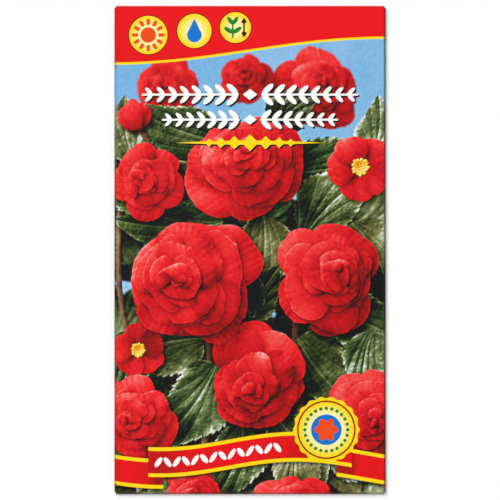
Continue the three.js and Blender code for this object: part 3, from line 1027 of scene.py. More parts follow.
# %% Faces of a grid and walls round it
def cell_corners(columns, rows, first=0):
    """The four corner numbers of each cell of a grid, turning left, as an array (rows, columns, 4)."""
    number = first + np.arange(rows * columns).reshape(rows, columns)
    corners = (number[:-1, :-1], number[:-1, 1:], number[1:, 1:], number[1:, :-1])
    return np.stack(corners, axis=-1)


def walls(cells, there, below):
    """For each side of a cell that has no neighbour, a face down to the same points on the other face."""
    padded = np.pad(there, 1)
    neighbour = (padded[:-2, 1:-1], padded[1:-1, 2:], padded[2:, 1:-1], padded[1:-1, :-2])
    made = []
    for side, beside in enumerate(neighbour):
        a, b = cells[..., side], cells[..., (side + 1) % 4]
        free = there & ~beside
        a, b = a[free], b[free]
        made.append(np.stack([b, a, a + below, b + below], axis=-1))
    return np.concatenate(made)


def zipper(coarse, fine, turned):
    """
    Triangles between a coarse edge and the fine edge beside it, which starts one fine cell in. Fine
    point k, counted from 1, fans to coarse point k / FINE_CELLS, rounded, and each coarse cell closes on
    the fine point at its middle.
    """
    k = np.arange(1, len(fine))
    nearest = np.floor((k + 0.5) / FINE_CELLS + 0.5).astype(int)
    fans = np.stack([fine[k - 1], coarse[nearest], fine[k]], axis=-1)
    c = np.arange(len(coarse) - 1)
    caps = np.stack([coarse[c], coarse[c + 1], fine[FINE_CELLS * c + FINE_CELLS // 2 - 1]], axis=-1)
    made = np.concatenate([fans, caps])
    return made[:, ::-1] if turned else made


print("a square has", cell_corners(2, 2).shape[-1], "corners")

# %% Build the sheet
coarse_count = len(sheet_u) * len(sheet_v)
cells = cell_corners(len(sheet_u), len(sheet_v))
middle_u = (sheet_u[1:] + sheet_u[:-1])[None] / 2
middle_v = (sheet_v[1:] + sheet_v[:-1])[:, None] / 2
is_paper = (np.abs(middle_v) < PANEL_END) | (np.abs(middle_u) < FLAP_HALF)
is_fine = (np.abs(middle_v) < PANEL_END) & (np.abs(middle_u) < FLAP_HALF)
fine_cells = cell_corners(len(fine_u), len(fine_v), 2 * coarse_count)

hole_rows = np.flatnonzero(np.isclose(np.abs(sheet_v), PANEL_END))
hole_columns = np.flatnonzero(np.isclose(np.abs(sheet_u), FLAP_HALF))
number = np.arange(coarse_count).reshape(len(sheet_v), len(sheet_u))
hole = number[hole_rows[0] : hole_rows[1] + 1, hole_columns[0] : hole_columns[1] + 1]
fine_number = 2 * coarse_count + np.arange(len(fine_u) * len(fine_v)).reshape(len(fine_v), len(fine_u))
quads = np.concatenate(
    [
        fine_cells.reshape(-1, 4),
        cells[is_paper & ~is_fine],
        coarse_count + cells[is_paper][:, ::-1],
        walls(cells, is_paper, coarse_count),
    ]
)
triangles = np.concatenate(
    [
        zipper(hole[0], fine_number[0], False),
        zipper(hole[-1], fine_number[-1], True),
        zipper(hole[:, 0], fine_number[:, 0], True),
        zipper(hole[:, -1], fine_number[:, -1], False),
    ]
)
coarse_uv = np.stack(np.meshgrid(sheet_u, sheet_v), axis=-1).reshape(-1, 2)
fine_uv = np.stack(np.meshgrid(fine_u, fine_v), axis=-1).reshape(-1, 2)
points_uv = np.concatenate([coarse_uv, coarse_uv, fine_uv])
outside = np.concatenate([np.ones(coarse_count), np.zeros(coarse_count), np.ones(len(fine_uv))])
used, renumbered = np.unique(np.concatenate([quads.ravel(), triangles.ravel()]), return_inverse=True)
points_uv, outside = points_uv[used], outside[used]
renumbered = renumbered.ravel()
quads = renumbered[: quads.size].reshape(-1, 4)
triangles = renumbered[quads.size :].reshape(-1, 3)
print("triangles in the envelope:", 2 * len(quads) + len(triangles))


# %% The envelope's mesh
def new_piece(name, points_mm, faces):
    """An object from points in millimetres and a list of faces, smooth except along its cut edges."""
    mesh = bpy.data.meshes.new(name)
    mesh.from_pydata((points_mm * MM).tolist(), [], faces, shade_flat=False)
    mesh.validate()
    mesh.set_sharp_from_angle(angle=np.radians(50))
    piece = bpy.data.objects.new(name, mesh)
    bpy.context.scene.collection.objects.link(piece)
    return piece


points = folded(points_uv[:, 0], points_uv[:, 1], PAPER * (1 - outside))
envelope = new_piece("packet_envelope", points, quads.tolist() + triangles.tolist())
print("envelope box:", np.round(np.ptp(points, axis=0), 2), "mm")

# %% [markdown]
# ## Print on the mesh
#
# The picture goes into the corners of the faces, not into the points. A corner belongs to one face
# only, so each face of the front holds four samples of its own, taken a quarter of the way in. That
# doubles the sharpness of the print for the same mesh. The folds are coarse, so they get the picture
# blurred a little instead.

# %% Colours and distances as attributes
CORNER_GAIN = 1.5  # a face's colours are drawn apart again, because blending evens them out
COARSE_FACE = 0.8  # a face longer than this, in millimetres, isn't one of the fine front
FINE_BLUR, SOFT_BLUR, SHARP_BLUR = 0.06, 0.7, 0.4  # for the front, the folds and the sharpening
SHARPENING = 0.5  # how far a point is drawn away from the colours round it, as printers do
GLOSS_HAZE = 0.014  # white that the gloss adds, seen from above
LIGHT_STRENGTH = 1.11  # light on a level surface as a share of full white


def to_linear(display):
    """Display colours to the linear ones that shaders use: the sRGB curve."""
    low, high = display / 12.92, ((np.clip(display, 0.04045, None) + 0.055) / 1.055) ** 2.4
    return np.where(display <= 0.04045, low, high)


def sample(picture, u, v):
    """The picture's colour at a point, straight between the four nearest canvas points."""
    gx = np.clip((u - CANVAS_X[0]) / PITCH, 0, len(CANVAS_X) - 1.001)
    gy = np.clip((v - CANVAS_Y[0]) / PITCH, 0, len(CANVAS_Y) - 1.001)
    ix, iy = gx.astype(int), gy.astype(int)
    fx, fy = (gx - ix)[..., None], (gy - iy)[..., None]
    lower = picture[iy, ix] * (1 - fx) + picture[iy, ix + 1] * fx
    upper = picture[iy + 1, ix] * (1 - fx) + picture[iy + 1, ix + 1] * fx
    return lower * (1 - fy) + upper * fy


def corner_colours(faces):
    """
    Samples halfway between each corner and its face's middle, drawn apart from their mean. On the coarse
    faces of the folds they are taken at the corners, so that the colour runs on from face to face.
    """
    corner_uv = points_uv[faces]
    coarse = np.ptp(corner_uv, axis=1).max(axis=1)[:, None, None] > COARSE_FACE
    middle = corner_uv.mean(axis=1, keepdims=True)
    at = middle + (corner_uv - middle) * np.where(coarse, 1.0, 0.5)
    crisp, soft = (sample(which, at[..., 0], at[..., 1]) for which in (fine_picture, soft_picture))
    mean = crisp.mean(axis=1, keepdims=True)
    colours = np.where(coarse, soft, mean + CORNER_GAIN * (crisp - mean))
    return np.clip(colours, 0, 1).reshape(-1, 3)


def print_density(display):
    """The linear ink for a display colour, less the haze of the gloss and the strength of the light."""
    return np.clip((to_linear(display) - GLOSS_HAZE) / LIGHT_STRENGTH, 0, 1)


fine_picture, soft_picture, softer = (
    np.stack([blur(picture[..., k], sigma) for k in range(3)], axis=-1)
    for sigma in (FINE_BLUR, SOFT_BLUR, SHARP_BLUR)
)
fine_picture = np.clip(fine_picture + SHARPENING * (fine_picture - softer), 0, 1)
corner_rgb = print_density(np.concatenate([corner_colours(quads), corner_colours(triangles)]))
corner_rgba = np.concatenate([corner_rgb, np.ones((len(corner_rgb), 1))], axis=1)
print("colour samples:", len(corner_rgba))


# %% Write the attributes
def write_attribute(mesh, name, kind, domain, values):
    """Stores an array in a mesh attribute."""
    field = {"FLOAT_COLOR": "color", "FLOAT_VECTOR": "vector", "FLOAT": "value"}[kind]
    attribute = mesh.attributes.new(name, kind, domain)
    attribute.data.foreach_set(field, np.ascontiguousarray(values, np.float32).ravel())


FAR_OFF = 10  # millimetres, past which a distance says nothing more
mesh = envelope.data
on_front = (np.abs(points_uv[:, 0]) < BACK_START) & (np.abs(points_uv[:, 1]) < FLAP_START)
write_attribute(mesh, "picture", "FLOAT_COLOR", "CORNER", corner_rgba)
write_attribute(mesh, "sheet", "FLOAT_VECTOR", "POINT", np.column_stack([points_uv, outside]))
for name, (shape, _, _) in INKS.items():
    distance = np.where(on_front, shape(points_uv[:, 0], points_uv[:, 1]), -FAR_OFF)
    write_attribute(mesh, name + "_ink", "FLOAT", "POINT", np.clip(distance, -FAR_OFF, FAR_OFF))
print("attributes:", [a.name for a in mesh.attributes if not a.name.startswith(".")])

# %% [markdown]
# ## Helpers for shader nodes
#
# Materials are built from nodes in code. A few small helpers keep that readable: they add any node and
# feed it, do a sum, mix two colours, or place a group. A group is an effect with named inputs and
# outputs, built once and used wherever it is needed.

# %% Node helpers
def add(tree, kind, inputs=None, **settings):
    """Adds a node, sets its properties, and feeds each input with a number, a colour or a socket."""
    made = tree.nodes.new("ShaderNode" + kind)
    for key, setting in settings.items():
        setattr(made, key, setting)
    for key, value in (inputs or {}).items():
        if isinstance(value, bpy.types.NodeSocket):
            tree.links.new(value, made.inputs[key])
        else:
            made.inputs[key].default_value = value
    return made


def calc(tree, operation, a, b=0.0):
    """One sum, such as MULTIPLY or MINIMUM, of two numbers or sockets."""
    return add(tree, "Math", {0: a, 1: b}, operation=operation).outputs[0]


def calc3(tree, operation, a, b=(0, 0, 0)):
    """The same for two vectors."""
    return add(tree, "VectorMath", {0: a, 1: b}, operation=operation).outputs[0]


def mix(tree, factor, a, b):
    """Colour a where the factor is 0 and colour b where it is 1."""
    sockets = {"Factor": factor, 6: a, 7: b}
    return add(tree, "Mix", sockets, data_type="RGBA").outputs[2]


def between(tree, value, low, high, to_low=0.0, to_high=1.0):
    """A smooth step of a value from one range to another."""
    sockets = {"Value": value, 1: low, 2: high, 3: to_low, 4: to_high}
    return add(tree, "MapRange", sockets, interpolation_type="SMOOTHSTEP").outputs[0]


def new_group(name, inputs, outputs):
    """An empty shader node group, its input socket list and its output node."""
    group = bpy.data.node_groups.new(name, "ShaderNodeTree")
    for label, kind, value in inputs:
        socket = group.interface.new_socket(label, in_out="INPUT", socket_type="NodeSocket" + kind)
        if value is not None:
            socket.default_value = value
    for label, kind in outputs:
        group.interface.new_socket(label, in_out="OUTPUT", socket_type="NodeSocket" + kind)
    return group, group.nodes.new("NodeGroupInput").outputs, group.nodes.new("NodeGroupOutput").inputs


def use(tree, group, inputs):
    """Places a group in a tree, feeds it, and gives its outputs."""
    return add(tree, "Group", inputs, node_tree=group).outputs


def new_material(name, **constants):
    """A material with one Principled shader, whose sockets that are the same all over are set here."""
    material = bpy.data.materials.new(name)
    material.use_nodes = True
    shader = material.node_tree.nodes["Principled BSDF"]
    for key, value in constants.items():
        shader.inputs[key.replace("_", " ")].default_value = value
    return material, material.node_tree, shader.inputs


def dress(piece, look, node):
    """Gives a piece its material, and says what it rides on, which solid it replaces."""
    piece.data.materials.append(look)
    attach(piece, "root")
    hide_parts(node)


print("helpers ready")

# %% [markdown]
# ## Shared effects
#
# Five effects are groups. *Edge of ink* cuts a distance into a sharp mask. *Fibre* is the fine grain
# and the faint clouds of paper, and serves foil, clay and glue too. *Crease wear* is the white that
# shows where a fold has rubbed through the ink. *Crinkle* is the fine random facets of foil and dried
# glue. *Printed box* is a rectangle's inside and its outline, for the print on the back.

# %% Edge of ink
ink_edge, given, result = new_group(
    "Edge of ink", [("Distance", "Float", 0.0), ("Softness", "Float", 0.05)], [("Mask", "Float")]
)
soft = given["Softness"]
mask = between(ink_edge, given["Distance"], calc(ink_edge, "MULTIPLY", soft, -1.0), soft)
ink_edge.links.new(mask, result["Mask"])
print("group:", ink_edge.name)

# %% Fibre
fibre, given, result = new_group(
    "Fibre",
    [("Vector", "Vector", None), ("Size", "Float", 0.0004), ("Stretch", "Float", 3.0)],
    [("Height", "Float"), ("Cloud", "Float")],
)
scale = calc(fibre, "DIVIDE", 1.0, given["Size"])
stretched = add(fibre, "CombineXYZ", {0: given["Stretch"], 1: 1.0, 2: 1.0}).outputs[0]
grain_at = calc3(fibre, "MULTIPLY", given["Vector"], stretched)
grain = add(fibre, "TexNoise", {"Vector": grain_at, "Scale": scale, "Detail": 4.0, "Roughness": 0.65})
cloud_scale = calc(fibre, "DIVIDE", scale, 30.0)
cloud = add(fibre, "TexNoise", {"Vector": given["Vector"], "Scale": cloud_scale, "Detail": 3.0})
fibre.links.new(grain.outputs[0], result["Height"])
fibre.links.new(cloud.outputs[0], result["Cloud"])
print("group:", fibre.name)

# %% Crease wear
crease_wear, given, result = new_group(
    "Crease wear",
    [
        ("Vector", "Vector", None),
        ("Distance", "Float", 0.0),
        ("Width", "Float", 0.3),
        ("Amount", "Float", 0.5),
    ],
    [("Mask", "Float")],
)
near_fold = between(crease_wear, given["Distance"], 0.0, given["Width"], 1.0, 0.0)
patchy = {"Vector": given["Vector"], "Scale": 160.0, "Detail": 5.0, "Roughness": 0.7}
patches = add(crease_wear, "TexNoise", patchy)
level = calc(crease_wear, "SUBTRACT", 1.0, calc(crease_wear, "MULTIPLY", given["Amount"], near_fold))
worn = between(crease_wear, patches.outputs[0], level, calc(crease_wear, "ADD", level, 0.08))
crease_wear.links.new(calc(crease_wear, "MULTIPLY", worn, near_fold), result["Mask"])
print("group:", crease_wear.name)

# %% Crinkle
crinkle, given, result = new_group(
    "Crinkle", [("Vector", "Vector", None), ("Size", "Float", 0.004)], [("Height", "Float")]
)
scale = calc(crinkle, "DIVIDE", 1.0, given["Size"])
swell = add(crinkle, "TexNoise", {"Vector": given["Vector"], "Scale": scale, "Detail": 2.0})
facets = add(crinkle, "TexVoronoi", {"Vector": given["Vector"], "Scale": scale}, feature="DISTANCE_TO_EDGE")
facet_height = calc(crinkle, "MULTIPLY", facets.outputs[0], 1.2)
crinkle.links.new(calc(crinkle, "ADD", facet_height, swell.outputs[0]), result["Height"])
print("group:", crinkle.name)

# %% Printed box
printed_box, given, result = new_group(
    "Printed box",
    [
        ("Vector", "Vector", None),
        ("Centre", "Vector", None),
        ("Half size", "Vector", None),
        ("Line", "Float", 0.3),
    ],
    [("Fill", "Float"), ("Outline", "Float")],
)
offset = calc3(printed_box, "ABSOLUTE", calc3(printed_box, "SUBTRACT", given["Vector"], given["Centre"]))
inside = add(printed_box, "SeparateXYZ", {0: calc3(printed_box, "SUBTRACT", given["Half size"], offset)})
depth = calc(printed_box, "MINIMUM", inside.outputs[0], inside.outputs[1])
half_line = calc(printed_box, "MULTIPLY", given["Line"], 0.5)
from_line = calc(printed_box, "SUBTRACT", half_line, calc(printed_box, "ABSOLUTE", depth))
fill = use(printed_box, ink_edge, {"Distance": depth})["Mask"]
outline = use(printed_box, ink_edge, {"Distance": from_line})["Mask"]
printed_box.links.new(fill, result["Fill"])
printed_box.links.new(outline, result["Outline"])
print("group:", printed_box.name)

# %% [markdown]
# ## Printed paper
#
# The material builds up as the printer does: bare paper, the picture on it, the sharp inks one after
# the other, then the thin gloss of the coating over all. The back has no picture. It is cream, with a
# frame, three round marks, dotted lines for the gardener's notes, and a strip of twelve boxes, one for
# each month, some of them coloured as sowing and flowering times are. The folds get painted shade,
# greyer where they turn away from the light and darkest along the right fold. Handling has worn a few
# white spots into them. The inside and the cut edges are white paper, duller and rougher than the
# coated side.

# %% Where each face of the sheet is
BACK_EDGE, FLAP_EDGE = (-0.35, -0.25), (-0.45, -0.35)  # where their prints fade in, off the fold's end
OUTER_FACE = (0.96, 0.99)  # where the attribute that is 1 on the printed face turns to coated paper

paper_look, tree, shader = new_material("Printed paper", IOR=1.5, Specular_IOR_Level=0.22)
place = add(tree, "TexCoord").outputs["Object"]
in_mm = add(tree, "VectorMath", {0: place, "Scale": 1 / MM}, operation="SCALE").outputs[0]
sheet = add(tree, "Attribute", attribute_name="sheet")
sheet_at = add(tree, "SeparateXYZ", {0: sheet.outputs["Vector"]}).outputs
off_middle_u = calc(tree, "ABSOLUTE", sheet_at[0])
off_middle_v = calc(tree, "ABSOLUTE", sheet_at[1])
is_back = between(tree, off_middle_u, BACK_START + BACK_EDGE[0], BACK_START + BACK_EDGE[1])
is_flap = between(tree, off_middle_v, FLAP_START + FLAP_EDGE[0], FLAP_START + FLAP_EDGE[1])
is_coated = between(tree, sheet_at[2], *OUTER_FACE)
print("the back starts", round(BACK_START, 2), "mm from the sheet's middle")

# %% Front print
print_colour = add(tree, "Attribute", attribute_name="picture").outputs["Color"]
for name, (_, colour, softness) in INKS.items():
    distance = add(tree, "Attribute", attribute_name=name + "_ink").outputs["Fac"]
    mask = use(tree, ink_edge, {"Distance": distance, "Softness": softness})["Mask"]
    print_colour = mix(tree, mask, print_colour, (*print_density(np.array(colour)), 1.0))
print("inks over the picture:", len(INKS))

# %% Back print
MONTH = 4.6  # width of a month's box
STRIP_Y, STRIP_HALF = -44.0, (6 * MONTH, 2.6)
SOWING, FLOWERING = (0.0, 3.0), (5.0, 10.0)
FRAME_Y, FRAME_HALF = -2.0, (33.0, 50.0)
NOTES_Y, NOTES_HALF, NOTES_PITCH = -5.5, (27.0, 29.0), 8.0
NOTES_DOT, NOTES_LINE = 1.5, 0.28  # from dot to dot, and the height of a dot
MARKS = ((14.0, (246, 190, 30)), (0.0, (60, 140, 205)), (-14.0, (100, 165, 70)))  # x and colour
MARK_Y, MARK_RADIUS, MARK_RING = 36.0, 5.0, 0.5
MARK_WHITE, LINE_BROWN = (255, 253, 244), (90, 70, 60)


def display(red, green, blue):
    """A display colour, 0 to 255, as a linear one with alpha."""
    return (*print_density(np.array([red, green, blue]) / 255), 1.0)


def back_box(y, half, line=0.3):
    """A printed box in the middle of the back, at a height, with its half size and its line."""
    inputs = {"Vector": in_mm, "Centre": (0, y, 0), "Half size": (*half, 0), "Line": line}
    return use(tree, printed_box, inputs)


frame_line, strip = back_box(FRAME_Y, FRAME_HALF, 0.35), back_box(STRIP_Y, STRIP_HALF, 0.25)
notes = back_box(NOTES_Y, NOTES_HALF)
x_mm, y_mm = add(tree, "SeparateXYZ", {0: in_mm}).outputs[:2]
month = calc(tree, "DIVIDE", calc(tree, "SUBTRACT", STRIP_HALF[0], x_mm), MONTH)
off_month_line = calc(tree, "ABSOLUTE", calc(tree, "SUBTRACT", calc(tree, "FRACT", month), 0.5))
month_line = between(tree, off_month_line, 0.465, 0.485)


def month_span(first, last):
    """1 in the boxes from the first to the last."""
    after = calc(tree, "GREATER_THAN", month, first)
    return calc(tree, "MULTIPLY", calc(tree, "LESS_THAN", month, last), after)


def off_middle(value, pitch):
    """How far a coordinate is from the middle of its step, with steps of a pitch."""
    share = calc(tree, "SUBTRACT", calc(tree, "FRACT", calc(tree, "DIVIDE", value, pitch)), 0.5)
    return calc(tree, "MULTIPLY", calc(tree, "ABSOLUTE", share), pitch)


# %% The back's colours, one over the other
grain = use(tree, fibre, {"Vector": place, "Size": 0.00035})
back_paper = mix(tree, grain["Cloud"], display(244, 237, 214), display(255, 253, 242))
back_colour = mix(tree, frame_line["Outline"], back_paper, display(196, 32, 38))
dot_side = calc(tree, "SUBTRACT", 0.3 * NOTES_DOT, off_middle(x_mm, NOTES_DOT))
dot_top = calc(tree, "SUBTRACT", NOTES_LINE / 2, off_middle(y_mm, NOTES_PITCH))
dots = use(tree, ink_edge, {"Distance": calc(tree, "MINIMUM", dot_side, dot_top)})["Mask"]
dots = calc(tree, "MULTIPLY", dots, notes["Fill"])
back_colour = mix(tree, dots, back_colour, display(120, 104, 92))
for mark_x, mark_colour in MARKS:
    to_mark = add(tree, "VectorMath", {0: in_mm, 1: (mark_x, MARK_Y, 0)}, operation="DISTANCE")
    for ring, colour in enumerate((mark_colour, MARK_WHITE, mark_colour)):
        inside = calc(tree, "SUBTRACT", MARK_RADIUS - ring * MARK_RING, to_mark.outputs["Value"])
        mask = use(tree, ink_edge, {"Distance": inside})["Mask"]
        back_colour = mix(tree, mask, back_colour, display(*colour))
box_colour = mix(tree, month_span(*SOWING), display(255, 253, 246), display(120, 176, 84))
box_colour = mix(tree, month_span(*FLOWERING), box_colour, display(228, 60, 56))
box_colour = mix(tree, month_line, box_colour, display(*LINE_BROWN))
back_colour = mix(tree, strip["Fill"], back_colour, box_colour)
back_colour = mix(tree, strip["Outline"], back_colour, display(*LINE_BROWN))
print("months on the strip:", round(2 * STRIP_HALF[0] / MONTH))

# %% Folds, flaps and bare paper
FOLD_SHADE, FOLD_SHADE_WIDTH = 0.44, 1.2  # painted shade, grey on the folds where they turn away from the light, and how far it reaches
RIGHT_FOLD_SHADE, RIGHT_FOLD_SHADE_WIDTH = 0.65, (0.35, 0.85)  # painted shade, a dark line on the right fold, which faces away from the light, and where it fades
WORN_WIDTH, WORN_AMOUNT = 0.55, 0.47  # white spots on the folds

coated = mix(tree, is_back, print_colour, back_colour)
coated = mix(tree, is_flap, coated, display(226, 26, 34))
side_fold = calc(tree, "ABSOLUTE", calc(tree, "SUBTRACT", off_middle_u, SIDE_FLAT + SIDE_ARC / 2))
end_fold = calc(tree, "ABSOLUTE", calc(tree, "SUBTRACT", off_middle_v, END_FLAT + END_ARC / 2))
nearest_fold = calc(tree, "MINIMUM", side_fold, end_fold)
spots = {"Vector": place, "Distance": nearest_fold, "Width": WORN_WIDTH, "Amount": WORN_AMOUNT}
wear = use(tree, crease_wear, spots)["Mask"]
bare = mix(tree, grain["Cloud"], display(238, 236, 228), display(252, 251, 246))
# painted shade: the folds are darkened where they turn away from the light
fold_shade = between(tree, nearest_fold, 0.1, FOLD_SHADE_WIDTH, FOLD_SHADE, 0.0)
coated = mix(tree, fold_shade, coated, display(62, 40, 34))
# painted shade: a darker line on the right fold, the side away from the light
right_fold = calc(tree, "ABSOLUTE", calc(tree, "SUBTRACT", sheet_at[0], SIDE_FLAT + SIDE_ARC / 2))
right_fold_shade = between(tree, right_fold, *RIGHT_FOLD_SHADE_WIDTH, RIGHT_FOLD_SHADE, 0.0)
coated = mix(tree, right_fold_shade, coated, display(40, 30, 28))
coated = mix(tree, wear, coated, display(244, 240, 232))
tree.links.new(mix(tree, is_coated, bare, coated), shader["Base Color"])
print("fold_shade", FOLD_SHADE_WIDTH, "mm to each side of a fold")

# %% Gloss and grain of the paper
COATED_ROUGH, BARE_ROUGH = 0.34, 0.85
COATED_RELIEF = 0.25  # share of the grain that shows through the coating
GRAIN_DEPTH = 0.00003  # metres

gloss = calc(tree, "ADD", COATED_ROUGH, calc(tree, "MULTIPLY", grain["Cloud"], 0.10))
gloss = calc(tree, "ADD", gloss, calc(tree, "MULTIPLY", wear, 0.3))
rough = add(tree, "Mix", {"Factor": is_coated, 2: BARE_ROUGH, 3: gloss}).outputs[0]
tree.links.new(rough, shader["Roughness"])
relief = add(tree, "Mix", {"Factor": is_coated, 2: 1.0, 3: COATED_RELIEF}).outputs[0]
bump_height = calc(tree, "MULTIPLY", grain["Height"], relief)
bump = add(tree, "Bump", {"Strength": 0.5, "Distance": GRAIN_DEPTH, "Height": bump_height})
tree.links.new(bump.outputs[0], shader["Normal"])
dress(envelope, paper_look, "envelope")
print("printed paper on", envelope.name)

# %% [markdown]
# ## The foil sachet
#
# Seeds as fine as dust come in an inner sachet of foil film, welded flat all round. Its two films are
# surfaces of the same two coordinates: the back one is level, and the front one rises over the seeds.
# The weld is pressed between ribbed jaws, which leaves rows of fine ridges, and the film between
# crumples into wrinkles that run in from the weld.

# %% Sachet films
FILM_LOW, FILM_HIGH = box_mm("sachet_front_film")
FILM = SACHET_HIGH[2] - SACHET_LOW[2]
FILM_SHARE = 0.85  # a film is made a little thinner than its solid, so that the two never touch
POCKET_RISE = FILM_HIGH[2] - FILM_LOW[2] - FILM
SEAL = 7.0  # width of the weld
POCKET_SPREAD = 1.0
POCKET_SQUARENESS = 6
RIB_PITCH, RIB_HEIGHT = 1.4, 0.012
WRINKLE_SIZE, WRINKLE_DEPTH = 5.0, 0.16
FILM_CELL = 0.5


def film_rise(x, y, share):
    """
    Height of a film over its weld: the pocket 1 - |x / foot|^6 and the same along, with wrinkles that are
    deepest on the pocket's slope, plus ribs, sin(2 pi distance / pitch), on the weld.
    """
    foot_x, foot_y = SACHET_SIZE[0] / 2 - SEAL + POCKET_SPREAD, SACHET_SIZE[1] / 2 - SEAL + POCKET_SPREAD
    pocket = np.clip(1 - np.abs(x / foot_x) ** POCKET_SQUARENESS, 0, None)
    pocket = pocket * np.clip(1 - np.abs(y / foot_y) ** POCKET_SQUARENESS, 0, None)
    wrinkle = WRINKLE_DEPTH * (fractal(x, y, WRINKLE_SIZE, 71, 3) - 1.0) * smooth(pocket * 4)
    to_edge = np.minimum(SACHET_SIZE[0] / 2 - np.abs(x), SACHET_SIZE[1] / 2 - np.abs(y))
    ribs = RIB_HEIGHT * (np.sin(2 * np.pi * to_edge / RIB_PITCH) - 1) * (to_edge < SEAL)
    return share * (POCKET_RISE * pocket + wrinkle) + ribs


def film(name, low, share):
    """A closed film: one grid for its upper face, the same lower down, and walls round them."""
    us, vs = (np.linspace(-size / 2, size / 2, int(size / FILM_CELL) + 1) for size in SACHET_SIZE[:2])
    u, v = np.meshgrid(us, vs)
    top = low + FILM + film_rise(u, v, share)
    x, y = u + SACHET_MIDDLE[0], v + SACHET_MIDDLE[1]
    layers = [np.stack([x, y, z], axis=-1).reshape(-1, 3) for z in (top, top - FILM * FILM_SHARE)]
    corners = cell_corners(len(us), len(vs))
    below = u.size
    faces = [corners.reshape(-1, 4), below + corners.reshape(-1, 4)[:, ::-1]]
    faces.append(walls(corners, np.ones(corners.shape[:2], bool), below))
    return new_piece(name, np.concatenate(layers), np.concatenate(faces).tolist())


back_film = film("sachet_back", SACHET_LOW[2], 0.0)
front_film = film("sachet_front", FILM_LOW[2], 1.0)
print(f"sachet {SACHET_SIZE[0]:.0f} x {SACHET_SIZE[1]:.0f} mm, pocket {POCKET_RISE:.1f} mm high")

# %% [markdown]
# The foil, the seeds' clay and the glue share one recipe: two tones of the same colour mixed by the
# fibre's clouds, a roughness that varies a little, and a relief. Only the values differ.

# %% Mottled materials
def mottled(name, tones, grain_size, stretch, **constants):
    """A material of two tones. Gives it, its tree, its shader's inputs, its place and its grain."""
    look, tree, shader = new_material(name, **constants)
    place = add(tree, "TexCoord").outputs["Object"]
    grain = use(tree, fibre, {"Vector": place, "Size": grain_size, "Stretch": stretch})
    tree.links.new(mix(tree, grain["Cloud"], *tones), shader["Base Color"])
    return look, tree, shader, place, grain


def finish(tree, shader, rough, spread, uneven, strength, depth, height):
    """Roughness plus a spread by one value, and a relief of a depth in metres by another."""
    varied = calc(tree, "ADD", rough, calc(tree, "MULTIPLY", uneven, spread))
    tree.links.new(varied, shader["Roughness"])
    bump = add(tree, "Bump", {"Strength": strength, "Distance": depth, "Height": height})
    tree.links.new(bump.outputs[0], shader["Normal"])


print("one recipe for foil, clay and glue")

# %% Foil
FOIL_TONES = display(196, 199, 205), display(226, 228, 232)
foil_look, tree, shader, place, grain = mottled(
    "Foil film", FOIL_TONES, 0.0006, 0.3, Metallic=1.0, Specular_IOR_Level=0.5
)
crumple = use(tree, crinkle, {"Vector": place, "Size": 0.004})["Height"]
finish(tree, shader, 0.22, 0.14, grain["Height"], 0.6, 0.0002, crumple)
for piece, node in ((back_film, "sachet_back_film"), (front_film, "sachet_front_film")):
    dress(piece, foil_look, node)
print("foil on two films")

# %% [markdown]
# ## Coated seeds
#
# Begonia seed is too fine to sow by hand, so it is rolled in clay into small balls. Each ball is a
# sphere in two angles with a radius that wobbles a little, and its pole rows are closed by a point.

# %% Seeds
RINGS, SIDES = 14, 24
UNEVEN = 0.06  # share of the radius by which the coat varies


def ball_points(centre, radius, seed):
    """Radius times 1 - UNEVEN noise in the direction of each point, on rings from pole to pole."""
    polar = np.linspace(0, np.pi, RINGS + 1)[1:-1]
    polar, turn = np.meshgrid(polar, np.linspace(0, 2 * np.pi, SIDES, endpoint=False), indexing="ij")
    way = np.stack([np.sin(polar) * np.cos(turn), np.sin(polar) * np.sin(turn), np.cos(polar)], axis=-1)
    way = np.concatenate([[(0, 0, 1)], way.reshape(-1, 3), [(0, 0, -1)]])
    noise = fractal(way[:, 0] + 1.7 * way[:, 2], way[:, 1] - 1.3 * way[:, 2], 0.7, seed, 2)
    return centre + way * (radius * (1 - UNEVEN * noise))[:, None]


def ball_faces():
    """Quads between the rings and a fan of triangles at each pole."""
    k, after = np.arange(SIDES), (np.arange(SIDES) + 1) % SIDES
    first = 1 + SIDES * np.arange(RINGS - 2)[:, None]
    quads = np.stack([first + k, first + SIDES + k, first + SIDES + after, first + after], axis=-1)
    last = 1 + SIDES * (RINGS - 2)
    top = np.stack([0 * k, 1 + k, 1 + after], axis=-1)
    bottom = np.stack([0 * k + last + SIDES, last + after, last + k], axis=-1)
    return quads.reshape(-1, 4).tolist() + top.tolist() + bottom.tolist()


seeds = []
for node in sorted(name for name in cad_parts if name.startswith("seed_")):
    low, high = box_mm(node)
    points = ball_points((low + high) / 2, (high - low).min() / 2, int(node.split("_")[1]))
    seeds.append((new_piece("coated_" + node, points, ball_faces()), node))
print("seeds:", len(seeds))

# %% Clay coat
CLAY_TONES = display(170, 82, 48), display(198, 112, 70)
clay_look, tree, shader, place, grain = mottled(
    "Clay coat", CLAY_TONES, 0.00012, 1.0, Specular_IOR_Level=0.25
)
finish(tree, shader, 0.75, 0.2, grain["Height"], 0.7, 0.00004, grain["Height"])
for piece, node in seeds:
    dress(piece, clay_look, node)
print("clay coat on", len(seeds), "seeds")

# %% [markdown]
# ## Dried glue
#
# The glue lines are thin flat films between two sheets of paper, so the solids' own shape is right.
# They keep their meshes and get a milky, slightly glossy look with the crinkle of glue that has dried.

# %% Glue
GLUE_TONES = display(222, 212, 184), display(240, 234, 212)
glue_look, tree, shader, place, grain = mottled(
    "Dried glue", GLUE_TONES, 0.0005, 0.2, Specular_IOR_Level=0.4
)
dried = use(tree, crinkle, {"Vector": place, "Size": 0.003})["Height"]
finish(tree, shader, 0.40, 0.15, dried, 0.5, 0.00005, dried)
for node in ("seam_glue", "bottom_flap_glue", "top_flap_glue"):
    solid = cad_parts[node]
    solid.data.materials.clear()
    solid.data.materials.append(glue_look)
print("glue lines keep their solids")

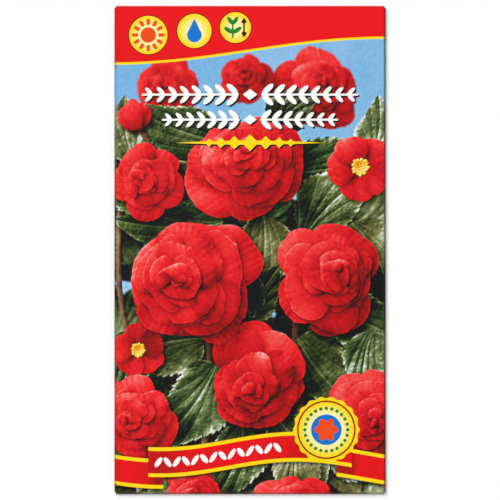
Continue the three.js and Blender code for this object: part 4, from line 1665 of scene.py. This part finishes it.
# %% [markdown]
# ## Floor, light and camera
#
# The packet lies on a white table and is seen from straight above through a long lens, which keeps
# its sides parallel. One soft sun from the upper left throws the narrow shadow along the right and
# bottom edges. The white world fills the rest, so that the table comes out nearly white.

# %% Floor
FLOOR_HALF = 1.5  # metres
FLOOR_LEVEL = -0.00002  # just under the flaps, so that the two faces aren't one
floor_mesh = bpy.data.meshes.new("table_top")
corners = np.array([(-1, -1, 0), (1, -1, 0), (1, 1, 0), (-1, 1, 0)]) * FLOOR_HALF + (0, 0, FLOOR_LEVEL)
floor_mesh.from_pydata(corners.tolist(), [], [(0, 1, 2, 3)])
table_top = bpy.data.objects.new("table_top", floor_mesh)
bpy.context.scene.collection.objects.link(table_top)
TABLE_TONES = (0.905, 0.905, 0.905, 1), (0.915, 0.915, 0.915, 1)
floor_look = mottled("Pale table", TABLE_TONES, 0.002, 1.0, Specular_IOR_Level=0.1, Roughness=0.9)[0]
floor_mesh.materials.append(floor_look)
print("floor", 2 * FLOOR_HALF, "m square")

# %% Light
KEY_SHARE, FILL_SHARE = 0.48, 0.64  # light on a level surface, as a share of full white
KEY_FROM = np.array([-0.84, 0.98, 1.0])  # direction towards the light
KEY_SOFTNESS = 40  # degrees across, as seen from the packet
key_data = bpy.data.lights.new("key", "SUN")
key_data.energy = KEY_SHARE * np.pi * np.linalg.norm(KEY_FROM) / KEY_FROM[2]
key_data.angle = np.radians(KEY_SOFTNESS)
key = bpy.data.objects.new("key", key_data)
key.rotation_euler = Vector(KEY_FROM).to_track_quat("Z", "Y").to_euler()
bpy.context.scene.collection.objects.link(key)

world = bpy.data.worlds.new("white room")
world.use_nodes = True
world.node_tree.nodes["Background"].inputs["Strength"].default_value = FILL_SHARE
world.node_tree.nodes["Background"].inputs["Color"].default_value = (1, 1, 1, 1)
bpy.context.scene.world = world
bpy.context.scene.view_settings.view_transform = "Standard"
print("light on the table:", KEY_SHARE + FILL_SHARE)

# %% Camera
FRAME_WIDTH = 147.36  # millimetres across the view at the packet's top
LENS, SENSOR = 200.0, 36.0
camera_data = bpy.data.cameras.new("camera")
camera_data.lens, camera_data.sensor_width = LENS, SENSOR
camera = bpy.data.objects.new("camera", camera_data)
camera.location = (0, 0, (FRAME_WIDTH * LENS / SENSOR + THICKNESS / 2) * MM)
bpy.context.scene.collection.objects.link(camera)
bpy.context.scene.camera = camera
print(f"camera {camera.location.z:.3f} m above the table")
